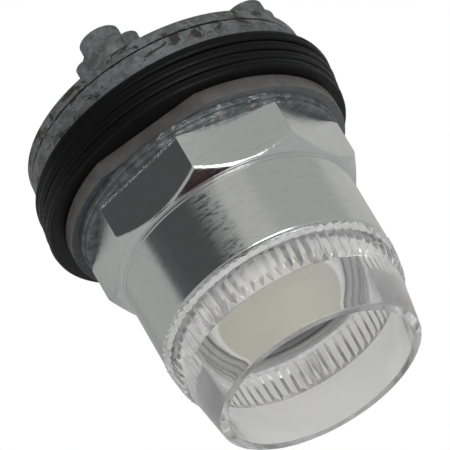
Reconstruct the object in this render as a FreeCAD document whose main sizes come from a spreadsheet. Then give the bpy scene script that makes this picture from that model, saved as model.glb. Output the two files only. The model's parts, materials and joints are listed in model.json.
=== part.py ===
import FreeCAD, Part

# Panel-mount illuminated push button for a 30.5 mm hole, in millimetres.
#
# +Z is the button's axis and points to the user. The origin is on that axis, in the
# plane where the panel's front face meets the trim washer. +Y points at one of the four
# rear posts. Each piece is drawn from its own rear face upwards and then set in place.

import math
import os
import re

import Sketcher

# ---------------------------------------------------------------------------------
# Driving dimensions. Names that end in _rear or _front are places along the axis.
# ---------------------------------------------------------------------------------
DIMENSIONS = [
    # base casting
    ("neck_radius", 15.0, "thread crest of the neck"),
    ("neck_front", 23.7, "front end of the neck"),
    ("thread_pitch", 1.5, "pitch of the neck and guard threads"),
    ("thread_depth", 0.6, "depth of a thread groove"),
    ("thread_count", 15.0, "thread grooves along the neck"),
    ("thread_start", 0.9, "first thread groove on the neck"),
    ("neck_lead", 0.5, "chamfer on the neck's end"),
    ("face_groove_inset", 0.8, "groove in the neck's end, from the bore"),
    ("face_groove_width", 0.5, "width of that groove"),
    ("face_groove_depth", 0.6, "depth of that groove"),
    ("flange_radius", 22.87, "flange behind the panel"),
    ("flange_edge", 0.35, "rounding of the flange's rear edge"),
    ("flange_front", -6.6, "flange face that carries the gaskets"),
    ("flange_rear", -12.45, "rear face of the flange"),
    ("parting_height", 2.0, "die parting line, above the flange's rear face"),
    ("parting_step", 0.09, "mismatch of the two die halves"),
    ("bore_radius", 12.4, "bore of the neck, round the lens"),
    ("guide_radius", 10.55, "guide land, round the plunger"),
    ("guide_front", 5.0, "guide land face that seats the return spring"),
    ("guide_rear", 0.0, "guide land face that stops the retaining clip"),
    ("floor_thickness", 2.0, "floor of the casting"),
    ("seal_groove_rear", 1.75, "rear side of the plunger seal's groove"),
    ("seal_groove_width", 1.5, "width of the plunger seal's groove"),
    ("seal_groove_radius", 11.9, "outer radius of the plunger seal's groove"),
    ("overcut", 0.1, "how far the outline of a cut passes the face it starts from"),
    ("overlap", 1.0, "how far a raised feature is rooted in the casting"),
    # posts for the contact block
    ("post_rear", -18.65, "rear end of the posts"),
    ("post_circle", 17.6, "radius of the circle through the posts"),
    ("post_radius", 3.3, "free end of a post"),
    ("post_count", 4.0, "posts round the axis"),
    ("post_step", 0.6, "how much wider a post is where it meets its pad"),
    ("pad_rear", -16.05, "rear face of the eared pad under a post"),
    ("ear_radius", 2.0, "rounded end of a pad ear"),
    ("ear_offset", 3.35, "centre of a pad ear, sideways"),
    ("tapped_radius", 1.65, "tapped hole, minor radius"),
    ("tapped_depth", 9.0, "depth of the tapped hole"),
    ("pocket_radius", 2.2, "rounded end of a cored pocket"),
    ("pocket_depth", 3.0, "depth of a cored pocket"),
    ("pocket_draft", 0.3, "narrowing of a cored pocket towards its floor"),
    ("pocket_half_angle", 17.0, "half the arc of a cored pocket"),
    # gaskets behind the panel
    ("gasket_radius", 24.45, "outside of a gasket"),
    ("gasket_bore", 15.75, "inside of a gasket"),
    ("gasket_thickness", 1.65, "one gasket"),
    ("gasket_edge", 0.3, "rounding of a gasket's outer edge"),
    # washers in front of the panel
    ("washer_bore", 15.3, "inside of both washers"),
    ("trim_radius", 22.5, "outside of the trim washer"),
    ("trim_thickness", 2.5, "trim washer"),
    ("trim_lip", 0.35, "height and depth of the trim washer's rear rebate"),
    ("trim_flat", 20.5, "distance from the axis to the trim washer's flat"),
    ("trim_turn", 0.9, "angle that the trim washer is turned through"),
    ("thrust_radius", 21.2, "larger step of the thrust washer"),
    ("thrust_small", 20.85, "smaller step of the thrust washer"),
    ("thrust_step", 1.0, "thickness of the larger step"),
    ("thrust_thickness", 1.75, "thrust washer"),
    ("thrust_edge", 0.25, "rounding of the thrust washer's front edge"),
    # ring nut
    ("nut_rear", 4.25, "rear face of the ring nut"),
    ("nut_corner", 21.1, "corner radius of the octagon"),
    ("nut_turn", 81.9, "angle of one octagon corner"),
    ("nut_corner_height", 5.85, "octagon corner, from the nut's rear face"),
    ("nut_cone_height", 7.95, "end of the chamfer cone"),
    ("nut_cone_radius", 19.35, "small end of the chamfer cone"),
    ("barrel_radius", 18.7, "outside of the barrel"),
    ("barrel_length", 20.95, "nut from end to end"),
    ("barrel_edge", 0.45, "rounding of the barrel's front edge"),
    ("barrel_root", 0.5, "how far the barrel's outline sinks below its surface in the octagon"),
    ("nut_edge", 0.3, "rounding of the nut's other turned edges"),
    ("nut_lead", 0.4, "chamfer on the rear end of the nut's thread"),
    ("nut_bore", 15.05, "bore on the neck's thread"),
    ("socket_bore", 16.55, "bore on the guard's thread"),
    ("socket_rear", 14.55, "shoulder behind the guard's thread"),
    # clear guard
    ("guard_rear", 20.2, "rear end of the guard's neck"),
    ("guard_neck", 16.5, "thread crest of the guard's neck"),
    ("guard_bore", 15.3, "bore of the guard's neck"),
    ("knurl_rear", 25.6, "rear face of the knurled ring"),
    ("knurl_length", 5.5, "knurled ring"),
    ("knurl_peak", 18.9, "tooth crest at the rear"),
    ("knurl_tip", 18.25, "tooth crest at the front"),
    ("knurl_depth", 0.55, "depth of a tooth"),
    ("knurl_teeth", 72.0, "teeth round the ring"),
    ("knurl_crest", 0.17, "half the width of a tooth's crest"),
    ("knurl_land", 0.05, "half the flat between two teeth"),
    ("knurl_chamfer", 0.5, "chamfer on the front ends of the teeth"),
    ("tooth_footing", 0.3, "how deep a tooth is rooted in the ring"),
    ("tooth_sink", 0.02, "how far a tooth's corners sit below the ring's surface"),
    ("sleeve_radius", 17.42, "outside of the sleeve, next to the knurled ring"),
    ("rim_front", 39.2, "front end of the guard"),
    ("rim_radius", 16.33, "outside of the rim"),
    ("rim_bore", 14.95, "inside of the rim"),
    ("rim_edge", 0.25, "rounding of the rim"),
    ("guard_thread_start", 0.9, "first thread groove on the guard, from its rear end"),
    ("guard_thread_depth", 0.36, "depth of the guard's thread grooves"),
    ("guard_thread_count", 2.0, "thread grooves on the guard"),
    ("guard_seal_wire", 0.32, "section radius of the guard's O-ring"),
    ("guard_seal_rear", 24.0, "rear side of the guard's O-ring groove"),
    ("guard_groove_width", 0.8, "width of the guard's O-ring groove"),
    # lens and plunger
    ("lens_radius", 12.0, "outside of the lens"),
    ("lens_front", 25.0, "face of the lens"),
    ("lens_rear", 16.2, "rear end of the lens skirt"),
    ("lens_wall", 1.5, "face thickness"),
    ("lens_shoulder", 2.3, "rounding between face and side"),
    ("lens_bore", 10.35, "inside of the lens skirt"),
    ("lens_seal_thickness", 0.8, "flat ring behind the lens"),
    ("lens_seal_inset", 0.2, "how far that ring's edge stays inside the lens"),
    ("plunger_radius", 10.5, "sliding surface"),
    ("plunger_bore", 8.7, "inside of the plunger"),
    ("plunger_flange_rear", 14.2, "face that the return spring pushes"),
    ("plunger_flange", 12.0, "radius of that flange"),
    ("plunger_spigot", 10.3, "spigot inside the lens"),
    ("plunger_spigot_front", 20.5, "end of the spigot"),
    ("plunger_tube_rear", -2.5, "rear end of the plunger's tube"),
    ("leg_rear", -14.4, "rear end of the plunger's legs"),
    ("leg_half_angle", 25.0, "half the arc of a leg"),
    ("slot_clearance", 0.3, "play of a leg in its slot"),
    ("slot_half_angle", 28.0, "half the arc of a leg's slot"),
    ("clip_rear", -1.15, "rear face of the retaining clip"),
    ("clip_thickness", 1.0, "retaining clip"),
    ("clip_root", 9.85, "bottom of the clip's groove"),
    ("clip_radius", 11.8, "outside of the clip"),
    ("clip_gap", 7.0, "mouth of the clip"),
    ("clip_play", 0.05, "play of the clip in its groove"),
    ("plunger_seal_wire", 0.66, "section radius of the plunger seal"),
    ("seal_play", 0.02, "gap between the plunger seal and the floor of its groove"),
    ("spring_wire", 0.5, "wire radius of the return spring"),
    ("spring_mean", 11.4, "mean radius of the return spring"),
    ("spring_turns", 4.5, "turns of the return spring"),
    ("spring_gap", 0.05, "play at each end of the return spring"),
    # lamp and its socket
    ("socket_play", 0.05, "play between the parts of the lamp socket"),
    ("socket_radius", 6.9, "lamp socket body"),
    ("socket_body_rear", -16.6, "rear face of the socket body"),
    ("socket_body_front", -7.0, "front face of the socket body"),
    ("socket_groove_height", 2.35, "groove for the socket clip, from the body's rear face"),
    ("socket_groove_width", 0.8, "width of that groove"),
    ("socket_groove_depth", 0.5, "depth of that groove"),
    ("socket_clip_gap", 5.2, "mouth of the socket clip"),
    ("socket_flange", 8.0, "flange that rests on the casting's floor"),
    ("socket_flange_height", 1.2, "thickness of that flange"),
    ("shell_radius", 5.7, "outside of the bayonet shell"),
    ("shell_bore", 5.15, "inside of the bayonet shell"),
    ("shell_rear", -9.0, "rear end of the bayonet shell"),
    ("shell_front", 2.0, "front end of the bayonet shell"),
    ("slot_arc", 20.0, "arc of a bayonet slot"),
    ("slot_turn", 15.0, "angle from a slot's entry to its seat"),
    ("pin_height", 6.1, "bayonet pins, from the tip of the lamp"),
    ("pin_radius", 0.9, "bayonet pin"),
    ("pin_play", 0.2, "play of a pin in its seat"),
    ("contact_bore", 2.6, "bore for the centre contact"),
    ("contact_head", 2.2, "head of the centre contact"),
    ("contact_head_height", 1.2, "thickness of that head"),
    ("contact_shank", 1.0, "shank of the centre contact"),
    ("contact_length", 4.0, "centre contact from end to end"),
    ("contact_spring_mean", 1.6, "mean radius of the contact spring"),
    ("contact_spring_wire", 0.25, "wire radius of the contact spring"),
    ("contact_spring_turns", 6.0, "turns of the contact spring"),
    ("lamp_rear", -9.0, "tip of the lamp"),
    ("solder_radius", 1.4, "flat end of the solder tip"),
    ("solder_root", 1.9, "solder tip where it meets the cap"),
    ("solder_height", 0.9, "height of the solder tip"),
    ("cap_radius", 4.7, "lamp cap"),
    ("cap_shoulder", 0.7, "width and height of the cap's sloping shoulder"),
    ("cap_shoulder_height", 1.4, "start of that shoulder, from the tip"),
    ("cap_front", 3.0, "front end of the lamp cap"),
    ("glass_radius", 5.0, "lamp glass"),
    ("glass_root", 4.5, "lamp glass where it enters the cap"),
    ("glass_root_height", 1.2, "height over which the glass widens"),
    ("glass_front", 19.6, "top of the lamp glass"),
    ("glass_wall", 0.6, "wall of the lamp glass"),
    ("glass_flat", 0.4, "radius of the flat left at the top of the glass"),
    ("terminal_thickness", 0.6, "terminal strip"),
    ("terminal_half_width", 1.9, "half the width of a terminal strip"),
    ("terminal_inner", 0.6, "inner end of a terminal strip"),
    ("terminal_inset", 0.4, "outer end of a strip, inside the socket body's edge"),
    ("riser_thickness", 0.55, "upright part of the shell's terminal"),
    ("riser_half_width", 1.5, "half the width of that part"),
    ("riser_height", 0.3, "how far that part passes the socket body"),
    ("screw_offset", 4.4, "terminal screws, from the axis"),
    ("screw_radius", 1.2, "shank of a terminal screw"),
    ("screw_length", 5.0, "length of the shank"),
    ("screw_head", 1.9, "head of a terminal screw"),
    ("screw_head_rear", -18.3, "rear face of the head"),
    ("driver_half_width", 0.3, "half the width of the driver slot"),
    ("driver_depth", 0.6, "depth of the driver slot"),
]

ALIASES = {name for name, _, _ in DIMENSIONS}

doc = FreeCAD.newDocument("push_button")
sheet = doc.addObject("Spreadsheet::Sheet", "Dims")
for row, (name, value, note) in enumerate(DIMENSIONS, start=1):
    sheet.set("A%d" % row, name)
    sheet.set("B%d" % row, str(value))
    sheet.set("C%d" % row, note)
    sheet.setAlias("B%d" % row, name)
doc.recompute()

BETWEEN_POSTS = 45           # heading half way between two posts, in degrees

pieces = []


# ---------------------------------------------------------------------------------
# Formulas: text such as "neck_radius + 0.3", read against the spreadsheet
# ---------------------------------------------------------------------------------
def full(text):
    """The formula with the sheet's name before each of its aliases."""
    def prefix(match):
        word = match.group(0)
        return "Dims." + word if word in ALIASES else word
    return re.sub(r"[a-z_]+", prefix, str(text))


def number(text):
    """What a formula comes to now."""
    value = sheet.evalExpression(full(text))
    return float(getattr(value, "Value", value))


# ---------------------------------------------------------------------------------
# Bodies, sketches and features
# ---------------------------------------------------------------------------------
def new_body(label, rear="0", turn="0"):
    """An empty body whose own zero is at its rear face."""
    body = doc.addObject("PartDesign::Body", label)
    body.Label = label
    body.setExpression("Placement.Base.z", full(rear))
    if turn != "0":
        body.setExpression("Placement.Rotation.Angle", full(turn))
    pieces.append(body)
    return body


def origin_part(body, role):
    for feature in body.Origin.OriginFeatures:
        if feature.Role == role:
            return feature
    raise ValueError(role)


def new_sketch(body, name, role="XY_Plane", height="0"):
    """An empty sketch on one of the body's own planes, raised by height."""
    sketch = body.newObject("Sketcher::SketchObject", body.Name + "_" + name)
    sketch.AttachmentSupport = [(origin_part(body, role), "")]
    sketch.MapMode = "FlatFace"
    if height != "0":
        sketch.setExpression("AttachmentOffset.Base.z", full(height))
    return sketch


def pin_coordinate(sketch, line, point, kind, text):
    """Tie one coordinate of a point to a formula."""
    axis = {"DistanceX": -2, "DistanceY": -1}[kind]
    if text == "0":
        sketch.addConstraint(Sketcher.Constraint("PointOnObject", line, point, axis))
        return
    index = sketch.addConstraint(Sketcher.Constraint(kind, line, point, number(text)))
    sketch.setExpression("Constraints[%d]" % index, full(text))


def draw_outline(sketch, corners):
    """A closed chain of straight lines through corners, each an (across, up) formula."""
    places = [FreeCAD.Vector(number(a), number(b), 0) for a, b in corners]
    lines = []
    for start, end in zip(places, places[1:] + places[:1]):
        lines.append(sketch.addGeometry(Part.LineSegment(start, end), False))
    for line, following in zip(lines, lines[1:] + lines[:1]):
        sketch.addConstraint(Sketcher.Constraint("Coincident", line, 2, following, 1))
    for line, (across, up) in zip(lines, corners):
        pin_coordinate(sketch, line, 1, "DistanceX", across)
        pin_coordinate(sketch, line, 1, "DistanceY", up)


def draw_circle(sketch, radius, across="0", up="0"):
    centre = FreeCAD.Vector(number(across), number(up), 0)
    circle = Part.Circle(centre, FreeCAD.Vector(0, 0, 1), number(radius))
    curve = sketch.addGeometry(circle, False)
    pin_coordinate(sketch, curve, 3, "DistanceX", across)
    pin_coordinate(sketch, curve, 3, "DistanceY", up)
    index = sketch.addConstraint(Sketcher.Constraint("Radius", curve, number(radius)))
    sketch.setExpression("Constraints[%d]" % index, full(radius))


def draw_box(sketch, left, right, low, high):
    """A rectangle between four formulas."""
    draw_outline(sketch, [(left, low), (right, low), (right, high), (left, high)])


def draw_obround(sketch, radius, offset, height):
    """Two half circles, offset each way from the upright axis, and their tangents."""
    middle = number(height)
    ends = []
    for side in (1, -1):
        centre = FreeCAD.Vector(side * number(offset), middle, 0)
        circle = Part.Circle(centre, FreeCAD.Vector(0, 0, 1), number(radius))
        first = -side * math.pi / 2
        arc = Part.ArcOfCircle(circle, first, first + math.pi)
        ends.append(sketch.addGeometry(arc, False))
    reach = number(radius)
    for index, (side, arc) in enumerate(zip((1, -1), ends)):
        start = FreeCAD.Vector(side * number(offset), middle + side * reach, 0)
        end = FreeCAD.Vector(-side * number(offset), middle + side * reach, 0)
        line = sketch.addGeometry(Part.LineSegment(start, end), False)
        sketch.addConstraint(Sketcher.Constraint("Tangent", arc, 2, line, 1))
        sketch.addConstraint(Sketcher.Constraint("Tangent", line, 2, ends[1 - index], 1))
    pin_coordinate(sketch, ends[0], 3, "DistanceX", offset)
    pin_coordinate(sketch, ends[0], 3, "DistanceY", height)
    pin_coordinate(sketch, ends[1], 3, "DistanceX", "-(%s)" % offset)
    pin_coordinate(sketch, ends[1], 3, "DistanceY", height)
    index = sketch.addConstraint(Sketcher.Constraint("Radius", ends[0], reach))
    sketch.setExpression("Constraints[%d]" % index, full(radius))


def draw_octagon(sketch, corner):
    """A regular octagon with one corner on the sketch's +X."""
    places = []
    for step in range(8):
        places.append(("%s * cos(%d deg)" % (corner, 45 * step),
                       "%s * sin(%d deg)" % (corner, 45 * step)))
    draw_outline(sketch, places)


def draw_tooth(sketch, tip):
    """One knurl tooth: sloping flanks and a narrow crest, rooted a little below."""
    root = "%s - knurl_depth - tooth_sink" % tip
    half = "(%s) * pi / knurl_teeth - knurl_land" % root
    draw_outline(sketch, [
        (root + " - tooth_footing", "-(%s)" % half),
        (root, "-(%s)" % half),
        (tip, "-knurl_crest"),
        (tip, "knurl_crest"),
        (root, half),
        (root + " - tooth_footing", half),
    ])


def finish_feature(body, feature, before=None, cuts=False):
    """Recompute, and make sure that the feature did add or remove material."""
    doc.recompute()
    after = body.Shape.Volume
    if before is not None:
        grew = after > before + 1e-4
        if cuts == grew or abs(after - before) < 1e-4:
            raise RuntimeError("%s changed nothing" % feature.Name)
    return feature


def volume_of(body):
    return body.Shape.Volume if body.Tip is not None else None


def turn_profile(body, name, corners, cuts=False, sweep="360", heading=0):
    """Revolve an outline of (radius, height) corners round the axis.

    A sweep under a full turn is centred on heading, in degrees from the body's +X
    towards its +Y.
    """
    before = volume_of(body)
    sketch = new_sketch(body, name + "_outline", "XZ_Plane")
    if heading:
        spin = FreeCAD.Rotation(FreeCAD.Vector(0, 1, 0), heading)
        sketch.AttachmentOffset = FreeCAD.Placement(FreeCAD.Vector(), spin)
    draw_outline(sketch, corners)
    doc.recompute()
    kind = "PartDesign::Groove" if cuts else "PartDesign::Revolution"
    feature = body.newObject(kind, body.Name + "_" + name)
    feature.Profile = sketch
    feature.ReferenceAxis = (sketch, ["V_Axis"])
    if sweep == "360":
        feature.Angle = 360.0
    else:
        feature.Midplane = True
        feature.setExpression("Angle", full(sweep))
    return finish_feature(body, feature, before, cuts)


def extrude(body, name, sketch, length, cuts=False, midplane=False):
    """Pad or pocket a sketch upwards from its plane, or evenly to both sides of it."""
    before = volume_of(body)
    doc.recompute()
    kind = "PartDesign::Pocket" if cuts else "PartDesign::Pad"
    feature = body.newObject(kind, body.Name + "_" + name)
    feature.Profile = sketch
    feature.Reversed = cuts
    feature.Midplane = midplane
    feature.setExpression("Length", full(length))
    return finish_feature(body, feature, before, cuts)


def repeat_round(body, name, originals, count, cuts=False):
    """Repeat features round the axis."""
    before = body.Shape.Volume
    pattern = body.newObject("PartDesign::PolarPattern", body.Name + "_" + name)
    pattern.Originals = originals
    pattern.Axis = (origin_part(body, "Z_Axis"), [""])
    pattern.Angle = 360.0
    pattern.setExpression("Occurrences", full(count))
    body.Tip = pattern
    return finish_feature(body, pattern, before, cuts)


def repeat_along(body, name, original, count, pitch, cuts=False):
    """Repeat one feature along the axis, one pitch apart."""
    before = body.Shape.Volume
    pattern = body.newObject("PartDesign::LinearPattern", body.Name + "_" + name)
    pattern.Originals = [original]
    pattern.Direction = (origin_part(body, "Z_Axis"), [""])
    pattern.setExpression("Occurrences", full(count))
    pattern.setExpression("Length", full("(%s - 1) * %s" % (count, pitch)))
    body.Tip = pattern
    return finish_feature(body, pattern, before, cuts)


def soften(body, name, kind, size, rings):
    """Fillet or chamfer the circular edges at the given (radius, height) places."""
    names = []
    wanted = [(number(radius), number(height)) for radius, height in rings]
    base = body.Tip
    for index, edge in enumerate(base.Shape.Edges, start=1):
        if not isinstance(edge.Curve, Part.Circle):
            continue
        centre = edge.Curve.Center
        if math.hypot(centre.x, centre.y) > 1e-4:
            continue
        for radius, height in wanted:
            if abs(edge.Curve.Radius - radius) < 1e-3 and abs(centre.z - height) < 1e-3:
                names.append("Edge%d" % index)
    if not names:
        raise RuntimeError("%s: no edge to soften" % body.Name)
    feature = body.newObject("PartDesign::" + kind, body.Name + "_" + name)
    feature.Base = (base, names)
    feature.setExpression("Radius" if kind == "Fillet" else "Size", full(size))
    doc.recompute()
    if abs(body.Shape.Volume - base.Shape.Volume) < 1e-4:
        raise RuntimeError("%s changed nothing" % feature.Name)
    return feature


def helix_wire(body, name, mean_radius, wire_radius, low, high, turns):
    """Sweep a round wire along a helix between two heights."""
    sketch = new_sketch(body, name + "_wire", "XZ_Plane")
    draw_circle(sketch, wire_radius, mean_radius, low)
    doc.recompute()
    feature = body.newObject("PartDesign::AdditiveHelix", body.Name + "_" + name)
    feature.Profile = sketch
    feature.ReferenceAxis = (sketch, ["V_Axis"])
    feature.Mode = 1
    feature.setExpression("Pitch", full("(%s - (%s)) / %s" % (high, low, turns)))
    feature.setExpression("Height", full("%s - (%s)" % (high, low)))
    return finish_feature(body, feature)


# ---------------------------------------------------------------------------------
# Base casting: flange, neck, posts and floor in one zinc die casting
# ---------------------------------------------------------------------------------
def base_casting():
    body = new_body("base_casting", "post_rear")
    rear = "flange_rear - post_rear"
    front = "flange_front - post_rear"
    parting = "flange_rear + parting_height - post_rear"
    floor = "flange_rear + floor_thickness - post_rear"
    land_low = "guide_rear - post_rear"
    land_high = "guide_front - post_rear"
    end = "neck_front - post_rear"
    turn_profile(body, "shell", [
        ("0", rear),
        ("flange_radius - 2 * parting_step", rear),
        ("flange_radius - parting_step", parting),
        ("flange_radius", parting),
        ("flange_radius", front),
        ("neck_radius", front),
        ("neck_radius", end),
        ("bore_radius", end),
        ("bore_radius", land_high),
        ("guide_radius", land_high),
        ("guide_radius", land_low),
        ("bore_radius", land_low),
        ("bore_radius", floor),
        ("0", floor),
    ])
    soften(body, "rear_edge", "Fillet", "flange_edge",
           [("flange_radius - 2 * parting_step", rear)])
    soften(body, "neck_end", "Chamfer", "neck_lead", [("neck_radius", end)])

    pad = new_sketch(body, "pad_shape", height="pad_rear - post_rear")
    draw_obround(pad, "ear_radius", "ear_offset", "post_circle")
    pad_length = "flange_rear - pad_rear + overlap"
    repeat_round(body, "pads", [extrude(body, "pad", pad, pad_length)], "post_count")

    boss = new_sketch(body, "boss_shape", height="pad_rear - post_rear")
    draw_circle(boss, "post_radius + post_step", "0", "post_circle")
    repeat_round(body, "bosses", [extrude(body, "boss", boss, pad_length)], "post_count")

    post = new_sketch(body, "post_shape")
    draw_circle(post, "post_radius", "0", "post_circle")
    length = "pad_rear - post_rear + overlap"
    repeat_round(body, "posts", [extrude(body, "post", post, length)], "post_count")

    hole = new_sketch(body, "tapped_shape")
    draw_circle(hole, "tapped_radius", "0", "post_circle")
    tapped = extrude(body, "tapped", hole, "tapped_depth", cuts=True)
    repeat_round(body, "tapped_holes", [tapped], "post_count", cuts=True)

    cored = turn_profile(body, "pocket", [
        ("post_circle - pocket_radius", rear + " - overcut"),
        ("post_circle + pocket_radius", rear + " - overcut"),
        ("post_circle + pocket_radius - pocket_draft", rear + " + pocket_depth"),
        ("post_circle - pocket_radius + pocket_draft", rear + " + pocket_depth"),
    ], cuts=True, sweep="2 * pocket_half_angle", heading=BETWEEN_POSTS)
    repeat_round(body, "pockets", [cored], "post_count", cuts=True)

    socket = new_sketch(body, "socket_shape", height=rear)
    draw_circle(socket, "socket_radius + socket_play")
    extrude(body, "socket_hole", socket, "floor_thickness", cuts=True)

    window = turn_profile(body, "leg_slot", [
        ("plunger_bore - slot_clearance", rear + " - overcut"),
        ("plunger_radius + slot_clearance", rear + " - overcut"),
        ("plunger_radius + slot_clearance", floor + " + overcut"),
        ("plunger_bore - slot_clearance", floor + " + overcut"),
    ], cuts=True, sweep="2 * slot_half_angle")
    repeat_round(body, "leg_slots", [window], "2", cuts=True)

    groove_low = "seal_groove_rear - post_rear"
    groove_high = groove_low + " + seal_groove_width"
    turn_profile(body, "seal_groove", [
        ("guide_radius - overcut", groove_low),
        ("seal_groove_radius", groove_low),
        ("seal_groove_radius", groove_high),
        ("guide_radius - overcut", groove_high),
    ], cuts=True)
    inner = "bore_radius + face_groove_inset"
    outer = inner + " + face_groove_width"
    turn_profile(body, "face_groove", [
        (inner, end + " - face_groove_depth"),
        (outer, end + " - face_groove_depth"),
        (outer, end + " + overcut"),
        (inner, end + " + overcut"),
    ], cuts=True)
    start = "thread_start - post_rear"
    thread = turn_profile(body, "thread", [
        ("neck_radius - thread_depth", start),
        ("neck_radius + overcut", start + " - 0.5 * thread_pitch + overcut"),
        ("neck_radius + overcut", start + " + 0.5 * thread_pitch - overcut"),
    ], cuts=True)
    repeat_along(body, "threads", thread, "thread_count", "thread_pitch", cuts=True)


# ---------------------------------------------------------------------------------
# Gaskets and washers on the neck
# ---------------------------------------------------------------------------------
def flat_ring(label, rear, inner, outer, thickness):
    """A plain ring of rectangular section."""
    body = new_body(label, rear)
    turn_profile(body, "ring", [
        (inner, "0"),
        (outer, "0"),
        (outer, thickness),
        (inner, thickness),
    ])
    return body


def gasket(label, place, shift):
    """One rubber ring of the stack, sitting a little off the axis on its loose bore."""
    body = flat_ring(label, "flange_front + %d * gasket_thickness" % place,
                     "gasket_bore", "gasket_radius", "gasket_thickness")
    soften(body, "edges", "Fillet", "gasket_edge",
           [("gasket_radius", "0"), ("gasket_radius", "gasket_thickness")])
    body.setExpression("Placement.Base.x", full(shift))


def trim_washer():
    body = new_body("trim_washer", "0", "trim_turn")
    turn_profile(body, "ring", [
        ("washer_bore", "0"),
        ("trim_radius - trim_lip", "0"),
        ("trim_radius - trim_lip", "trim_lip"),
        ("trim_radius", "trim_lip"),
        ("trim_radius", "trim_thickness"),
        ("washer_bore", "trim_thickness"),
    ])
    flat = new_sketch(body, "flat_shape")
    draw_box(flat, "-trim_radius", "trim_radius", "trim_flat", "trim_radius + overcut")
    extrude(body, "flat", flat, "trim_thickness", cuts=True)


def thrust_washer():
    body = new_body("thrust_washer", "trim_thickness")
    turn_profile(body, "ring", [
        ("washer_bore", "0"),
        ("thrust_radius", "0"),
        ("thrust_radius", "thrust_step"),
        ("thrust_small", "thrust_step"),
        ("thrust_small", "thrust_thickness"),
        ("washer_bore", "thrust_thickness"),
    ])
    soften(body, "front_edge", "Fillet", "thrust_edge",
           [("thrust_small", "thrust_thickness")])


# ---------------------------------------------------------------------------------
# Ring nut: octagon, chamfer cone and long barrel
# ---------------------------------------------------------------------------------
def ring_nut():
    body = new_body("ring_nut", "nut_rear", "nut_turn")
    shape = new_sketch(body, "octagon_shape")
    draw_octagon(shape, "nut_corner")
    extrude(body, "octagon", shape, "nut_cone_height")
    turn_profile(body, "cone", [
        ("nut_cone_radius", "nut_cone_height"),
        ("nut_corner", "nut_corner_height"),
        ("nut_corner + overcut", "nut_corner_height"),
        ("nut_corner + overcut", "nut_cone_height + overcut"),
        ("nut_cone_radius", "nut_cone_height + overcut"),
    ], cuts=True)
    turn_profile(body, "barrel", [
        ("nut_bore", "0"),
        ("barrel_radius - barrel_root", "0"),
        ("barrel_radius - barrel_root", "nut_corner_height"),
        ("barrel_radius", "nut_corner_height"),
        ("barrel_radius", "barrel_length"),
        ("nut_bore", "barrel_length"),
    ])
    turn_profile(body, "bores", [
        ("0", "-overcut"),
        ("nut_bore", "-overcut"),
        ("nut_bore", "socket_rear"),
        ("socket_bore", "socket_rear"),
        ("socket_bore", "barrel_length + overcut"),
        ("0", "barrel_length + overcut"),
    ], cuts=True)
    soften(body, "front_edge", "Fillet", "barrel_edge", [("barrel_radius", "barrel_length")])
    soften(body, "inner_edge", "Fillet", "nut_edge", [("socket_bore", "barrel_length")])
    soften(body, "shoulder", "Fillet", "nut_edge", [("barrel_radius", "nut_cone_height")])
    soften(body, "lead_in", "Chamfer", "nut_lead", [("nut_bore", "0")])


# ---------------------------------------------------------------------------------
# Clear guard and its O-ring
# ---------------------------------------------------------------------------------
def guard():
    body = new_body("guard", "guard_rear")
    knurl = "knurl_rear - guard_rear"
    knurl_end = knurl + " + knurl_length"
    rim = "rim_front - guard_rear"
    turn_profile(body, "sleeve", [
        ("guard_bore", "0"),
        ("guard_neck", "0"),
        ("guard_neck", knurl),
        ("knurl_peak - knurl_depth", knurl),
        ("knurl_tip - knurl_depth", knurl_end),
        ("sleeve_radius", knurl_end),
        ("rim_radius", rim),
        ("rim_bore", rim),
        ("guard_bore", knurl),
    ])
    soften(body, "rim", "Fillet", "rim_edge", [("rim_radius", rim), ("rim_bore", rim)])
    groove_low = "guard_seal_rear - guard_rear"
    groove_high = groove_low + " + guard_groove_width"
    turn_profile(body, "seal_groove", [
        ("guard_neck - 2 * guard_seal_wire", groove_low),
        ("guard_neck + overcut", groove_low),
        ("guard_neck + overcut", groove_high),
        ("guard_neck - 2 * guard_seal_wire", groove_high),
    ], cuts=True)
    thread = turn_profile(body, "thread", [
        ("guard_neck - guard_thread_depth", "guard_thread_start"),
        ("guard_neck + overcut", "guard_thread_start - 0.35 * thread_pitch"),
        ("guard_neck + overcut", "guard_thread_start + 0.35 * thread_pitch"),
    ], cuts=True)
    repeat_along(body, "threads", thread, "guard_thread_count", "thread_pitch", cuts=True)

    before = body.Shape.Volume
    rear_tooth = new_sketch(body, "tooth_rear", height=knurl)
    draw_tooth(rear_tooth, "knurl_peak")
    front_tooth = new_sketch(body, "tooth_front", height=knurl_end)
    draw_tooth(front_tooth, "knurl_tip")
    doc.recompute()
    tooth = body.newObject("PartDesign::AdditiveLoft", "guard_tooth")
    tooth.Profile = rear_tooth
    tooth.Sections = [front_tooth]
    tooth.Ruled = True
    finish_feature(body, tooth, before)
    repeat_round(body, "teeth", [tooth], "knurl_teeth")
    turn_profile(body, "tooth_ends", [
        ("knurl_tip - knurl_chamfer", knurl_end),
        ("knurl_tip + overcut", knurl_end + " - knurl_chamfer - overcut"),
        ("knurl_peak", knurl_end + " - knurl_chamfer - overcut"),
        ("knurl_peak", knurl_end + " + overcut"),
        ("knurl_tip - knurl_chamfer", knurl_end + " + overcut"),
    ], cuts=True)


def torus_ring(label, wire, outer, height):
    """A round rubber ring whose outside touches a radius, centred at a height."""
    ring = doc.addObject("Part::Torus", label)
    ring.Label = label
    ring.setExpression("Radius1", full("%s - %s" % (outer, wire)))
    ring.setExpression("Radius2", full(wire))
    ring.setExpression("Placement.Base.z", full(height))
    doc.recompute()
    pieces.append(ring)


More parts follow.
